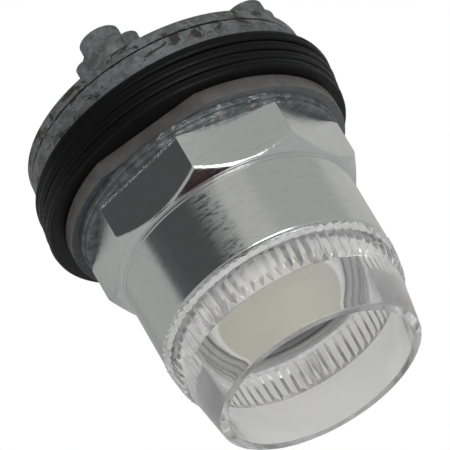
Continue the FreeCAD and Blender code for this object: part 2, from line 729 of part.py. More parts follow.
# ---------------------------------------------------------------------------------
# Lens, plunger, clip and return spring
# ---------------------------------------------------------------------------------
def lens():
    body = new_body("lens", "lens_rear")
    face = "lens_front - lens_rear"
    turn_profile(body, "cup", [
        ("0", face),
        ("lens_radius", face),
        ("lens_radius", "0"),
        ("lens_bore", "0"),
        ("lens_bore", face + " - lens_wall"),
        ("0", face + " - lens_wall"),
    ])
    soften(body, "shoulder", "Fillet", "lens_shoulder", [("lens_radius", face)])
    soften(body, "inner_shoulder", "Fillet", "lens_shoulder - lens_wall",
           [("lens_bore", face + " - lens_wall")])


def plunger():
    body = new_body("plunger", "leg_rear")
    tube = "plunger_tube_rear - leg_rear"
    flange = "plunger_flange_rear - leg_rear"
    seat = "lens_rear - lens_seal_thickness - leg_rear"
    groove_low = "clip_rear - clip_play - leg_rear"
    groove_high = groove_low + " + clip_thickness + 2 * clip_play"
    turn_profile(body, "tube", [
        ("plunger_bore", tube),
        ("plunger_radius", tube),
        ("plunger_radius", groove_low),
        ("clip_root", groove_low),
        ("clip_root", groove_high),
        ("plunger_radius", groove_high),
        ("plunger_radius", flange),
        ("plunger_flange", flange),
        ("plunger_flange", seat),
        ("plunger_spigot", seat),
        ("plunger_spigot", "plunger_spigot_front - leg_rear"),
        ("plunger_bore", "plunger_spigot_front - leg_rear"),
    ])
    leg = turn_profile(body, "leg", [
        ("plunger_bore", "0"),
        ("plunger_radius", "0"),
        ("plunger_radius", tube + " + overcut"),
        ("plunger_bore", tube + " + overcut"),
    ], sweep="2 * leg_half_angle")
    repeat_round(body, "legs", [leg], "2")


def snap_ring(label, rear, inner, outer, thickness, gap):
    """A flat ring with a mouth across its +Y side."""
    body = flat_ring(label, rear, inner, outer, thickness)
    mouth = new_sketch(body, "mouth_shape")
    draw_box(mouth, "-0.5 * %s" % gap, "0.5 * %s" % gap, "0.5 * (%s)" % inner,
             outer + " + overcut")
    extrude(body, "mouth", mouth, thickness, cuts=True)


def return_spring():
    body = new_body("return_spring", "guide_front")
    helix_wire(body, "coil", "spring_mean", "spring_wire", "spring_wire + spring_gap",
               "plunger_flange_rear - guide_front - spring_wire - spring_gap",
               "spring_turns")


# ---------------------------------------------------------------------------------
# Lamp and lamp socket
# ---------------------------------------------------------------------------------
def socket_body():
    body = new_body("socket_body", "socket_body_rear")
    flange = "flange_rear + floor_thickness - socket_body_rear"
    front = "socket_body_front - socket_body_rear"
    shell = "shell_rear - socket_body_rear"
    groove_high = "socket_groove_height + socket_groove_width"
    turn_profile(body, "body", [
        ("contact_bore", "0"),
        ("socket_radius", "0"),
        ("socket_radius", "socket_groove_height"),
        ("socket_radius - socket_groove_depth", "socket_groove_height"),
        ("socket_radius - socket_groove_depth", groove_high),
        ("socket_radius", groove_high),
        ("socket_radius", flange),
        ("socket_flange", flange),
        ("socket_flange", flange + " + socket_flange_height"),
        ("socket_radius", flange + " + socket_flange_height"),
        ("socket_radius", front),
        ("shell_radius + socket_play", front),
        ("shell_radius + socket_play", shell),
        ("contact_bore", shell),
    ])
    screws = new_sketch(body, "screw_shape")
    draw_circle(screws, "screw_radius + socket_play", "screw_offset", "0")
    hole = extrude(body, "screw_hole", screws, "screw_length", cuts=True)
    repeat_round(body, "screw_holes", [hole], "2", cuts=True)
    riser = new_sketch(body, "riser_shape")
    draw_box(riser, "shell_radius + socket_play",
             "shell_radius + riser_thickness + 2 * socket_play",
             "-riser_half_width - socket_play", "riser_half_width + socket_play")
    extrude(body, "riser_slot", riser, front, cuts=True)


def shell_window(body, name, high, heading):
    """A pair of openings through the bayonet shell, up to a height."""
    low = "pin_height - pin_radius - pin_play"
    opening = turn_profile(body, name, [
        ("shell_bore - overcut", low),
        ("shell_radius + overcut", low),
        ("shell_radius + overcut", high),
        ("shell_bore - overcut", high),
    ], cuts=True, sweep="slot_arc", heading=heading)
    repeat_round(body, name + "s", [opening], "2", cuts=True)


def socket_shell():
    """Bayonet shell with two hooked slots, whose seats hold the lamp's pins."""
    length = "shell_front - shell_rear"
    body = flat_ring("socket_shell", "shell_rear", "shell_bore", "shell_radius", length)
    shell_window(body, "slot_entry", length + " + overcut", number("slot_turn"))
    shell_window(body, "slot_seat", "pin_height + pin_radius + pin_play", 0)


def centre_contact():
    body = new_body("centre_contact", "lamp_rear - contact_length")
    head = "contact_length - contact_head_height"
    turn_profile(body, "pin", [
        ("0", "0"),
        ("contact_shank", "0"),
        ("contact_shank", head),
        ("contact_head", head),
        ("contact_head", "contact_length"),
        ("0", "contact_length"),
    ])


def contact_spring():
    body = new_body("contact_spring", "socket_body_rear")
    helix_wire(body, "coil", "contact_spring_mean", "contact_spring_wire",
               "contact_spring_wire + socket_play",
               "lamp_rear - contact_head_height - socket_body_rear - contact_spring_wire"
               " - socket_play", "contact_spring_turns")


def lamp_cap():
    """Metal cap of the lamp, with its solder tip and two bayonet pins."""
    body = new_body("lamp_cap", "lamp_rear")
    turn_profile(body, "cap", [
        ("0", "0"),
        ("solder_radius", "0"),
        ("solder_root", "solder_height"),
        ("cap_radius - cap_shoulder", "cap_shoulder_height"),
        ("cap_radius", "cap_shoulder_height + cap_shoulder"),
        ("cap_radius", "cap_front - lamp_rear"),
        ("0", "cap_front - lamp_rear"),
    ])
    pins = new_sketch(body, "pin_shape", "YZ_Plane")
    draw_circle(pins, "pin_radius", "0", "pin_height")
    extrude(body, "pins", pins, "2 * shell_radius", midplane=True)


def lamp_glass():
    body = new_body("lamp_glass", "cap_front")
    top = "glass_front - cap_front"
    turn_profile(body, "envelope", [
        ("0", top),
        ("glass_radius", top),
        ("glass_radius", "glass_root_height"),
        ("glass_root", "0"),
        ("glass_root - glass_wall", "0"),
        ("glass_radius - glass_wall", "glass_root_height"),
        ("glass_radius - glass_wall", top + " - glass_wall"),
        ("0", top + " - glass_wall"),
    ])
    soften(body, "dome", "Fillet", "glass_radius - glass_flat", [("glass_radius", top)])
    soften(body, "inner_dome", "Fillet", "glass_radius - glass_wall - glass_flat",
           [("glass_radius - glass_wall", top + " - glass_wall")])


def terminal(label, turn):
    """Flat terminal strip on the rear face of the socket body."""
    body = new_body(label, "socket_body_rear - terminal_thickness", turn)
    strip = new_sketch(body, "strip_shape")
    draw_box(strip, "terminal_inner", "socket_radius - terminal_inset",
             "-terminal_half_width", "terminal_half_width")
    extrude(body, "strip", strip, "terminal_thickness")
    hole = new_sketch(body, "hole_shape")
    draw_circle(hole, "screw_radius + 2 * socket_play", "screw_offset", "0")
    extrude(body, "hole", hole, "terminal_thickness", cuts=True)
    return body


def shell_terminal():
    body = terminal("shell_terminal", "0")
    riser = new_sketch(body, "riser_shape")
    draw_box(riser, "shell_radius + socket_play",
             "shell_radius + socket_play + riser_thickness",
             "-riser_half_width", "riser_half_width")
    extrude(body, "riser", riser, "socket_body_front - socket_body_rear + riser_height")


def terminal_screws():
    """Two slotted pan-head screws, as one group."""
    body = new_body("terminal_screws", "screw_head_rear")
    head = "socket_body_rear - terminal_thickness - screw_head_rear"
    heads = new_sketch(body, "head_shape")
    draw_circle(heads, "screw_head", "screw_offset", "0")
    first = extrude(body, "head", heads, head)
    shank = new_sketch(body, "shank_shape", height=head)
    draw_circle(shank, "screw_radius", "screw_offset", "0")
    shaft = extrude(body, "shank", shank, "screw_length")
    slot = new_sketch(body, "slot_shape")
    draw_box(slot, "screw_offset - screw_head - overcut", "screw_offset + screw_head + overcut",
             "-driver_half_width", "driver_half_width")
    cut = extrude(body, "slot", slot, "driver_depth", cuts=True)
    repeat_round(body, "pair", [first, shaft, cut], "2")


# ---------------------------------------------------------------------------------
# Write every piece
# ---------------------------------------------------------------------------------
base_casting()
for place, (label, shift) in enumerate([
        ("gasket_rear", "0.24"),
        ("gasket_second", "-0.08"),
        ("gasket_third", "-0.25"),
        ("gasket_front", "-0.42")]):
    gasket(label, place, shift)
trim_washer()
thrust_washer()
ring_nut()
guard()
torus_ring("guard_seal", "guard_seal_wire", "guard_neck",
           "guard_seal_rear + 0.5 * guard_groove_width")
lens()
flat_ring("lens_seal", "lens_rear - lens_seal_thickness", "lens_bore",
          "lens_radius - lens_seal_inset", "lens_seal_thickness")
plunger()
snap_ring("retaining_clip", "clip_rear", "clip_root + clip_play", "clip_radius",
          "clip_thickness", "clip_gap")
return_spring()
torus_ring("plunger_seal", "plunger_seal_wire", "seal_groove_radius - seal_play",
           "seal_groove_rear + 0.5 * seal_groove_width")
socket_body()
socket_shell()
snap_ring("socket_clip", "socket_body_rear + socket_groove_height + socket_play",
          "socket_radius - socket_groove_depth + socket_play", "socket_flange",
          "socket_groove_width - 2 * socket_play", "socket_clip_gap")
centre_contact()
contact_spring()
lamp_cap()
lamp_glass()
shell_terminal()
terminal("centre_terminal", "180")
terminal_screws()

doc.recompute()
for item in doc.Objects:
    if "Invalid" in item.State or "Error" in item.State:
        raise RuntimeError("%s: %s" % (item.Name, item.State))
for piece in pieces:
    if piece.Shape.isNull() or not piece.Shape.isValid() or piece.Shape.Volume <= 0:
        raise RuntimeError("%s has no valid shape" % piece.Label)

os.makedirs("parts", exist_ok=True)
for piece in pieces:
    piece.Shape.exportStep("parts/%s.step" % piece.Label)
    print("%-16s %9.1f mm3, %d solid(s)"
          % (piece.Label, piece.Shape.Volume, len(piece.Shape.Solids)))
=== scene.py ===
import json
import math

import bmesh
import bpy
from mathutils import Matrix, Vector


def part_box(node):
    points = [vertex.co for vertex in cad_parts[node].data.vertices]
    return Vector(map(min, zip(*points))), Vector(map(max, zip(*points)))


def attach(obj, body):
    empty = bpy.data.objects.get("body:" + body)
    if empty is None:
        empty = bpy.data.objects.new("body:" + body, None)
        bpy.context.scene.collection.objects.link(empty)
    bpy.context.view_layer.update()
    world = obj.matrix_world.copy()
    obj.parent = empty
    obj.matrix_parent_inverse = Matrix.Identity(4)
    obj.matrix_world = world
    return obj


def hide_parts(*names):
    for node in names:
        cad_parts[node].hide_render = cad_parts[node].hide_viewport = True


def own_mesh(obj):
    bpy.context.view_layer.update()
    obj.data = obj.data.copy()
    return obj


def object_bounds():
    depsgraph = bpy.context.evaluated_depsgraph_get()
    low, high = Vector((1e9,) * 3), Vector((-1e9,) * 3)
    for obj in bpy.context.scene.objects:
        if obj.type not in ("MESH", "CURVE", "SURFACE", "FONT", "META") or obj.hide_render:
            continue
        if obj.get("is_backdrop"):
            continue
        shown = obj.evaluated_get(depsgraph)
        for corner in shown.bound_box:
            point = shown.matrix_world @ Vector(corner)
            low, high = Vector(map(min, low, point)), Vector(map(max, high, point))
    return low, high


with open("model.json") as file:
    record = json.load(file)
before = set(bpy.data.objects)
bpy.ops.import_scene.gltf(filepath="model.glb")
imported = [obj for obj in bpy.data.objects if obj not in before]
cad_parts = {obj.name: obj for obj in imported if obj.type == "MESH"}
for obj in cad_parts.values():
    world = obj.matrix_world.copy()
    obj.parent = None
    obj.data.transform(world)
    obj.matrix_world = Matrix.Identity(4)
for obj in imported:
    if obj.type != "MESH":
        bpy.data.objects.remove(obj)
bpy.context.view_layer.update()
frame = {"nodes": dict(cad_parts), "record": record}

# ---- Units and counts ----
# Lengths here are metres, as in the frame: MM turns millimetres into them.
MM = 0.001
COLUMNS = 288                        # columns of vertices round a turned piece
TRIM_COLUMNS = 720                   # the same for the washer with a flat
NEAR = 0.1 * MM                      # how far past a face a measure of the frame still looks
OCTAGON_SIDES = 8
COLUMNS_PER_SIDE = 40
KNURL_TEETH = 72
COLUMNS_PER_TOOTH = 12
TOOTH_SECTION = (1.0, 0.94, 0.75, 0.56, 0.37, 0.18, 0.0)  # a tooth's height from crest to valley

# Gaskets
GASKET_RIDGE = 0.09 * MM             # moulding ridge round the edge
GASKET_ROUNDING = 0.42 * MM
GASKET_WAVE = 0.07 * MM              # three waves round the edge
GASKET_RIPPLE = 0.04 * MM            # seven more on top of them
GASKET_SHRINK = 0.05 * MM
GASKET_PHASE = 1.7                   # radians between one gasket's waves and the next one's

# Washers
TRIM_TURN = 0.9                      # degrees
TRIM_LIP = 0.35 * MM
TRIM_EDGE = 0.12 * MM
TRIM_FOLLOW = 0.4                    # share of the rebate's depth that the flat has too
THRUST_STEP = 1.0 * MM
THRUST_ROUNDING = {1: 0.15 * MM, 2: 0.2 * MM, 4: 0.3 * MM}   # radii by place in the outline

# Ring nut; heights are from its rear face
NUT_CORNER_HEIGHT = 5.85 * MM
NUT_CONE_HEIGHT = 7.95 * MM
NUT_SOCKET_HEIGHT = 14.55 * MM
NUT_EDGE = 0.05 * MM                 # rounding of the rear edge
NUT_LEAD = 0.4 * MM                  # chamfer at the rear of the bore
NUT_CONE_STEP = 0.2 * MM             # the cone ends this much nearer the axis than the bead
FACET_ROUNDING = 0.5 * MM
FACET_STEPS = 5
FACET_LIMIT = 0.8                    # share of the cone that the rounding may take up
FACET_ROW = 1.2 * MM                 # height of an extra row of the facets
BEAD_RADIUS_STEP = 0.22 * MM         # how far the bead stands out of the barrel
BEAD_HEIGHTS = (0.10 * MM, 0.42 * MM, 0.50 * MM)   # over the cone: its face, and the barrel
NUT_ROUNDING = {0: 0.04 * MM, 1: 0.05 * MM, 2: 0.06 * MM, 4: 0.5 * MM, 5: 0.3 * MM}
NUT_CREASE = 34                      # degrees; edges sharper than this stay crisp
NUT_BEVEL = 0.07 * MM
NUT_BEVEL_ANGLE = 42                 # degrees; corners sharper than this are rounded

# Clear guard
GUARD_NECK_LENGTH = 5.4 * MM
GUARD_RINGS = 4                      # thread grooves on the neck
GUARD_RING_START = 0.8 * MM          # from the rear of the neck
GUARD_RING_PITCH = 1.0 * MM
GUARD_RING_HALF = 0.35 * MM
GUARD_RING_DEPTH = 0.18 * MM
KNURL_LENGTH = 5.5 * MM
KNURL_DEPTH = 0.55 * MM
KNURL_TAPER = 0.65 * MM              # how much nearer the axis a crest is at the front
KNURL_CHAMFER = 0.85 * MM
KNURL_TURN = -0.6                    # degrees, from +X to a crest
KNURL_ROWS = (0.0, 0.01, 0.25, 0.5, 0.75, 1.0)   # shares of the length before the chamfer
GUARD_CHAMFER = 0.25 * MM            # at the rear of the neck
GUARD_SHOULDER = (0.4 * MM, 0.02 * MM)   # a small cone where the neck meets the knurl
SLEEVE_FOOT = (0.06 * MM, 0.04 * MM)     # the sleeve starts this far in and this far up
SLEEVE_ROUNDING = {1: 0.22 * MM, 2: 0.14 * MM}
SLEEVE_ROWS = 8
GUARD_CREASE = 24                    # degrees

# Lens
LENS_WALL = 1.5 * MM
LENS_CROWN = 0.18 * MM
LENS_SHOULDER = 2.3 * MM
LENS_CORNER = 1.2 * MM               # chamfer inside the cap
LENS_ROWS = 10

# Base casting
BLANK_TURN = 0.4                     # degrees; keeps the casting's columns off the posts' planes
NUDGE = 0.02 * MM                    # keeps faces that would share a plane a little apart
OVERLAP = 0.8 * MM                   # how far joined or cutting solids run past a face
POST_RADIUS = 3.3 * MM
POST_STEP = 0.6 * MM
POST_DRAFT = 0.1 * MM                # how much narrower a post is at its free end
POST_HOLE_DEPTH = 9.0 * MM
EAR_RADIUS = 2.0 * MM
EAR_OFFSET = 3.35 * MM
PAD_HEIGHT = 2.6 * MM                # from the posts' ends
FLANGE_HEIGHT = 6.2 * MM             # from the posts' ends
PARTING_HEIGHT = 2.0 * MM            # from the flange's rear face
PARTING_STEP = 0.09 * MM
FLANGE_ROUNDING = 0.4 * MM           # at its rear edge
FLOOR_THICKNESS = 2.0 * MM
THREAD_PITCH = 1.5 * MM
THREAD_START = 0.9 * MM
THREAD_HALF = 0.65 * MM
THREAD_DEPTH = 0.6 * MM
THREAD_END = 1.4 * MM                # plain length before the neck's front face
NECK_LEAD = 0.5 * MM
PLUNGER_BORE = 12.4 * MM             # radius
GUIDE_BORE = 10.55 * MM              # radius
GUIDE_REAR = 0.0
GUIDE_FRONT = 5.0 * MM
SEAL_GROOVE = (0.8 * MM, 1.3 * MM)   # from the bore to the groove's inner and outer walls
SEAL_GROOVE_DEPTH = 0.6 * MM
SOCKET_OPENING = 6.95 * MM           # radius
POCKET_HALF = 2.2 * MM               # half the width of a pocket between two posts
POCKET_DEPTH = 3.0 * MM
SLOT_RADII = (8.4 * MM, 10.8 * MM)
SLOT_HALF_ANGLE = 28                 # degrees
POCKET_ANGLES = (28, 62)             # degrees
CASTING_BEVEL = 0.12 * MM
CASTING_BEVEL_ANGLE = 40             # degrees

# Camera: beside the axis by TILT, turned from +Y by TURN, and rolled
TILT = 60.66
TURN = 9.5
LEAN = 59.54                         # how far below the horizontal the axis points in the picture
DISTANCE = 882 * MM
LENS = 480
SENSOR = 36
NEAREST = 0.05
FARTHEST = 20
AIM_HEIGHT = 9.2 * MM
AIM_ASIDE = -0.78 * MM

# Studio
SHOWN = (1.0, 1.0, 1.0)              # what the camera sees of the floor and the backdrop
THROUGH_GLOW = (0.57, 0.57, 0.555)   # what light that came through plastic finds there
FLOOR_GLOW = (0.43, 0.435, 0.425)    # what all other light finds
WORLD_GLOW = (0.46, 0.465, 0.46)
DARK = (0.080, 0.080, 0.082)
UPPER_DARK = (0.040, 0.022, 0.026)
FLOOR_HALF = 3.0
CARD_LIFT = 1 * MM                   # over the floor
CARD_STEP = 4                        # degrees between the corners of a card on the floor
FLOOR_CARD = (0.034, 0.6)            # distances of its near and far side from the axis
UPPER_CARD = ((0.50, 0.34), (0.22, 0.62))   # distance and height of its low and high side
UPPER_NARROWING = 0.7                # width of the high side as a share of the low one

# Places of marks on the surfaces, in millimetres and degrees from +X
NUT_BURR_TOP = 4.75                  # height where the rough rear edge of the nut ends
NUT_BURR_TURN = 104.4                # the facet that has the rough edge
BARREL_STREAK_TURN = 86.0              # the barrel's strip of dark streaks, a painted reflection
NUT_STREAK_REAR = 12.6                 # height where the barrel's strip of painted reflection starts
NUT_INSIDE = 17.6                    # radius within which the nut is matt
COPPER_AND_PAINTED_LIGHT_TURN = 62.0                   # the copper-tinted part of the washer, where pale scuff-like patches of painted light lie too
PAD_SHADE_HEIGHT = -16.2                     # height of the painted shade line in the corner where a post meets its pad
PARTING_SHADE_HEIGHT = -10.45                # height of the painted shade line in the groove round the casting at the parting
STAIN_LINE = -12.9                   # height below which the casting has no stains
NECK_FACE = 23.0                     # height above which the neck's front face is painted lighter, painted light in its shade
SLEEVE_LINE = 30.6                   # height where the guard turns from milky to clear


# ---- Measures taken from the frame ----
def points_of(node):
    """Where the vertices of a CAD node are, in the frame."""
    return [v.co for v in frame["nodes"][node].data.vertices]


def reach(node, low=-1.0, high=1.0):
    """Largest distance from the axis that a node has between two heights."""
    return max(math.hypot(p.x, p.y) for p in points_of(node) if low <= p.z <= high)


def bore(node, low=-1.0, high=1.0):
    """Smallest distance from the axis that a node has between two heights."""
    return min(math.hypot(p.x, p.y) for p in points_of(node) if low <= p.z <= high)


# ---- Mesh helpers ----
def link_object(name, data):
    """A new object in the scene that shows a mesh, a lamp or a camera."""
    made = bpy.data.objects.new(name, data)
    bpy.context.scene.collection.objects.link(made)
    return made


def finish_with(piece, slot):
    """Give a piece one material, the one of its slot."""
    piece.data.materials.clear()
    piece.data.materials.append(MATERIALS[slot])


def add_piece(name, mesh, body, node, slot):
    """A piece that rides on a body, stands for a CAD node and has its slot's material."""
    piece = link_object(name, mesh)
    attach(piece, body)
    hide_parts(node)
    finish_with(piece, slot)
    return piece


def shade(mesh, angle=30):
    """Smooth faces, with edges sharper than angle kept crisp."""
    mesh.shade_smooth()
    mesh.set_sharp_from_angle(angle=math.radians(angle))


def ring_mesh(name, rows, columns, place, centre=(0.0, 0.0), sharp=30):
    """A closed ring of quads: place(row, angle) gives the radius and height there."""
    vertices = []
    for row in rows:
        for column in range(columns):
            angle = 2 * math.pi * column / columns
            radius, height = place(row, angle)
            vertices.append((centre[0] + radius * math.cos(angle),
                             centre[1] + radius * math.sin(angle), height))
    faces = []
    count = len(rows)
    for row in range(count):
        below = row * columns
        above = ((row + 1) % count) * columns
        for column in range(columns):
            following = (column + 1) % columns
            faces.append((below + column, below + following, above + following, above + column))
    mesh = bpy.data.meshes.new(name)
    mesh.from_pydata(vertices, [], faces)
    settle(mesh)
    shade(mesh, sharp)
    return mesh


def settle(mesh):
    """Weld coincident vertices and turn every face outwards."""
    work = bmesh.new()
    work.from_mesh(mesh)
    bmesh.ops.remove_doubles(work, verts=work.verts, dist=1e-7)
    bmesh.ops.dissolve_degenerate(work, dist=1e-7, edges=work.edges)
    bmesh.ops.recalc_face_normals(work, faces=work.faces)
    work.to_mesh(mesh)
    work.free()


def lathe(name, outline):
    """Turn a closed outline of (radius, height) points round the axis."""
    return ring_mesh(name, outline, COLUMNS, lambda point, angle: point)


def rounded(outline, corners, steps=5):
    """The outline with some corners replaced by arcs; corners maps an index to a radius."""
    result = []
    for index, point in enumerate(outline):
        radius = corners.get(index, 0)
        if not radius:
            result.append(point)
            continue
        here = Vector(point)
        before = Vector(outline[index - 1]) - here
        after = Vector(outline[(index + 1) % len(outline)]) - here
        turn = before.angle(after)
        cut = radius / math.tan(turn / 2)
        start = here + before.normalized() * cut
        end = here + after.normalized() * cut
        middle = here + (before.normalized() + after.normalized()).normalized() * (
            radius / math.sin(turn / 2))
        first = start - middle
        last = end - middle
        sweep = first.angle(last)
        for step in range(steps + 1):
            share = step / steps
            spread = (first * math.sin((1 - share) * sweep)
                      + last * math.sin(share * sweep)) / math.sin(sweep)
            result.append(tuple(middle + spread))
    return result


def apply_modifiers(piece):
    """Replace a piece's mesh by what its modifiers make of it."""
    graph = bpy.context.evaluated_depsgraph_get()
    made = bpy.data.meshes.new_from_object(piece.evaluated_get(graph))
    old = piece.data
    piece.modifiers.clear()
    piece.data = made
    bpy.data.meshes.remove(old)


def bevel(piece, width, angle):
    """Small rounded edges, at corners sharper than angle, with flat-looking faces between."""
    modifier = piece.modifiers.new("edges", "BEVEL")
    modifier.width = width
    modifier.segments = 2
    modifier.limit_method = "ANGLE"
    modifier.angle_limit = math.radians(angle)
    modifier.harden_normals = True
    modifier.use_clamp_overlap = True


def combine(piece, meshes, operation):
    """Join meshes to a piece, or cut them out of it."""
    for mesh in meshes:
        tool = link_object("tool", mesh)
        modifier = piece.modifiers.new("combine", "BOOLEAN")
        modifier.operation = operation
        modifier.solver = "EXACT"
        modifier.object = tool
        bpy.context.view_layer.update()
        apply_modifiers(piece)
        bpy.data.objects.remove(tool)
        bpy.data.meshes.remove(mesh)


def prism(outline, low, high, low_outline=None):
    """A solid over a closed (x, y) outline; low_outline gives the lower end its own."""
    count = len(outline)
    vertices = [(x, y, low) for x, y in low_outline or outline]
    vertices += [(x, y, high) for x, y in outline]
    faces = [tuple(reversed(range(count))), tuple(range(count, 2 * count))]
    for index in range(count):
        following = (index + 1) % count
        faces.append((index, following, following + count, index + count))
    mesh = bpy.data.meshes.new("prism")
    mesh.from_pydata(vertices, [], faces)
    settle(mesh)
    return mesh


def arc(centre, radius, start, end, steps):
    """Points along an arc; angles in degrees."""
    points = []
    for step in range(steps + 1):
        angle = math.radians(start + (end - start) * step / steps)
        points.append((centre[0] + radius * math.cos(angle), centre[1] + radius * math.sin(angle)))
    return points


def turned(outline, angle):
    """An (x, y) outline turned about the axis, in degrees."""
    cos = math.cos(math.radians(angle))
    sin = math.sin(math.radians(angle))
    return [(x * cos - y * sin, x * sin + y * cos) for x, y in outline]


# ---- Material helpers ----
class Surface:
    """A Principled material and short calls for the nodes that feed it."""

    def __init__(self, name):
        self.material = bpy.data.materials.new(name)
        self.material.use_nodes = True
        self.tree = self.material.node_tree
        self.shader = self.tree.nodes["Principled BSDF"]
        self.bumps = None

    def node(self, kind, **settings):
        made = self.tree.nodes.new("ShaderNode" + kind)
        for name, value in settings.items():
            setattr(made, name, value)
        return made

    def link(self, source, target):
        self.tree.links.new(source, target)

    def place(self, stretch=(1, 1, 1)):
        """The point on the piece in millimetres, stretched."""
        coordinates = self.node("TexCoord")
        mapping = self.node("Mapping")
        mapping.inputs["Scale"].default_value = [1000 * s for s in stretch]
        self.link(coordinates.outputs["Object"], mapping.inputs["Vector"])
        return mapping.outputs["Vector"]

    def noise(self, scale, detail=4, rough=0.5, stretch=(1, 1, 1), distortion=0.0):
        made = self.node("TexNoise")
        made.inputs["Scale"].default_value = scale
        made.inputs["Detail"].default_value = detail
        made.inputs["Roughness"].default_value = rough
        made.inputs["Distortion"].default_value = distortion
        self.link(self.place(stretch), made.inputs["Vector"])
        return made.outputs["Fac"]

    def cells(self, scale):
        made = self.node("TexVoronoi")
        made.inputs["Scale"].default_value = scale
        self.link(self.place(), made.inputs["Vector"])
        return made.outputs["Distance"]

    def band(self, source, low, high, to_low=0.0, to_high=1.0):
        made = self.node("MapRange")
        made.interpolation_type = "SMOOTHSTEP"
        for name, value in (("From Min", low), ("From Max", high),
                            ("To Min", to_low), ("To Max", to_high)):
            made.inputs[name].default_value = value
        self.link(source, made.inputs["Value"])
        return made.outputs["Result"]

    def math(self, operation, first, second):
        made = self.node("Math", operation=operation)
        for socket, value in zip(made.inputs, (first, second)):
            if isinstance(value, (int, float)):
                socket.default_value = value
            else:
                self.link(value, socket)
        return made.outputs["Value"]

    def mix(self, share, first, second):
        """Mix two colours; each is a triple or a socket."""
        made = self.node("Mix", data_type="RGBA")
        self.link(share, made.inputs["Factor"])
        for name, value in (("A", first), ("B", second)):
            socket = [s for s in made.inputs if s.name == name and s.type == "RGBA"][0]
            if isinstance(value, tuple):
                socket.default_value = (*value, 1)
            else:
                self.link(value, socket)
        return [s for s in made.outputs if s.type == "RGBA"][0]

    def facing(self, axis):
        """How far the surface points along one of the row's axes, from -1 to 1."""
        coordinates = self.node("TexCoord")
        parts = self.node("SeparateXYZ")
        self.link(coordinates.outputs["Normal"], parts.inputs["Vector"])
        return parts.outputs[axis]

    def towards(self, turn):
        """How far the surface points along a direction, turned from the row's +X."""
        coordinates = self.node("TexCoord")
        made = self.node("VectorMath", operation="DOT_PRODUCT")
        self.link(coordinates.outputs["Normal"], made.inputs[0])
        made.inputs[1].default_value = (math.cos(math.radians(turn)),
                                        math.sin(math.radians(turn)), 0)
        return made.outputs["Value"]

    def across(self, turn):
        """Distance in millimetres from the upright plane through the axis at a turn."""
        made = self.node("VectorMath", operation="DOT_PRODUCT")
        self.link(self.place(), made.inputs[0])
        made.inputs[1].default_value = (-math.sin(math.radians(turn)),
                                        math.cos(math.radians(turn)), 0)
        return made.outputs["Value"]

    def from_axis(self):
        """Distance in millimetres from the row's Z axis."""
        made = self.node("VectorMath", operation="LENGTH")
        self.link(self.place((1, 1, 0)), made.inputs[0])
        return made.outputs["Value"]

    def along(self, axis):
        """One coordinate of the point on the piece, in millimetres."""
        parts = self.node("SeparateXYZ")
        self.link(self.place(), parts.inputs["Vector"])
        return parts.outputs[axis]

    def bump(self, height, strength, distance):
        made = self.node("Bump")
        made.inputs["Strength"].default_value = strength
        made.inputs["Distance"].default_value = distance
        self.link(height, made.inputs["Height"])
        if self.bumps is not None:
            self.link(self.bumps, made.inputs["Normal"])
        self.bumps = made.outputs["Normal"]
        self.link(self.bumps, self.shader.inputs["Normal"])

    def feed(self, name, value):
        socket = self.shader.inputs[name]
        if isinstance(value, tuple):
            socket.default_value = (*value, 1) if socket.type == "RGBA" else value
        elif isinstance(value, (int, float)):
            socket.default_value = value
        else:
            self.link(value, socket)


def zinc_casting():
    """Dull die-cast zinc: blue-grey skin, pale scuff marks, brown stains, fine pits, painted shade
    lines in the parting groove and where posts meet pads, and painted light on the neck's front
    face.
    """
    look = Surface("zinc_casting")
    patches = look.band(look.noise(0.25, 6, 0.62, (1, 1, 1.5)), 0.38, 0.62)
    colour = look.mix(patches, (0.105, 0.108, 0.104), (0.175, 0.195, 0.203))
    mottle = look.band(look.noise(1.3, 7, 0.7), 0.50, 0.66)
    colour = look.mix(mottle, colour, (0.235, 0.25, 0.25))
    speck = look.band(look.noise(4.5, 4, 0.7), 0.55, 0.72)
    colour = look.mix(speck, colour, (0.07, 0.068, 0.062))
    stains = look.band(look.noise(0.23, 8, 0.7, (1, 1, 1.7), 0.6), 0.535, 0.575)
    stains = look.math("MULTIPLY", stains, look.band(look.along("Z"), STAIN_LINE,
                                                     STAIN_LINE + 0.4))
    colour = look.mix(stains, colour, (0.042, 0.038, 0.031))
    # Painted light: the neck's front face, which sits in shade behind the guard, is painted
    # lighter zinc.
    painted_light_face = look.band(look.along("Z"), NECK_FACE, NECK_FACE + 0.4)
    colour = look.mix(painted_light_face, colour, (0.38, 0.38, 0.37))
    ragged = look.band(look.noise(0.8, 5, 0.7), 0.3, 0.7, -0.12, 0.12)
    # Painted shade: near-black lines in the parting groove and in the corner where each post meets
    # its pad.
    for height, width in ((PARTING_SHADE_HEIGHT, 0.22), (PAD_SHADE_HEIGHT, 0.16)):
        line = look.math("ABSOLUTE", look.math("SUBTRACT", look.along("Z"), height), 0.0)
        line = look.math("ADD", line, ragged)
        colour = look.mix(look.band(line, width / 2, width, 1.0, 0.0), colour,
                          (0.02, 0.019, 0.017))
    look.feed("Base Color", colour)
    look.feed("Metallic", 0.5)
    look.feed("Roughness", look.band(look.noise(0.9, 5, 0.6), 0.3, 0.7, 0.40, 0.64))
    look.bump(look.noise(2.6, 8, 0.7), 0.5, 0.00012)
    look.bump(look.band(look.cells(1.1), 0.0, 0.16), 0.25, 0.0001)
    return look.material


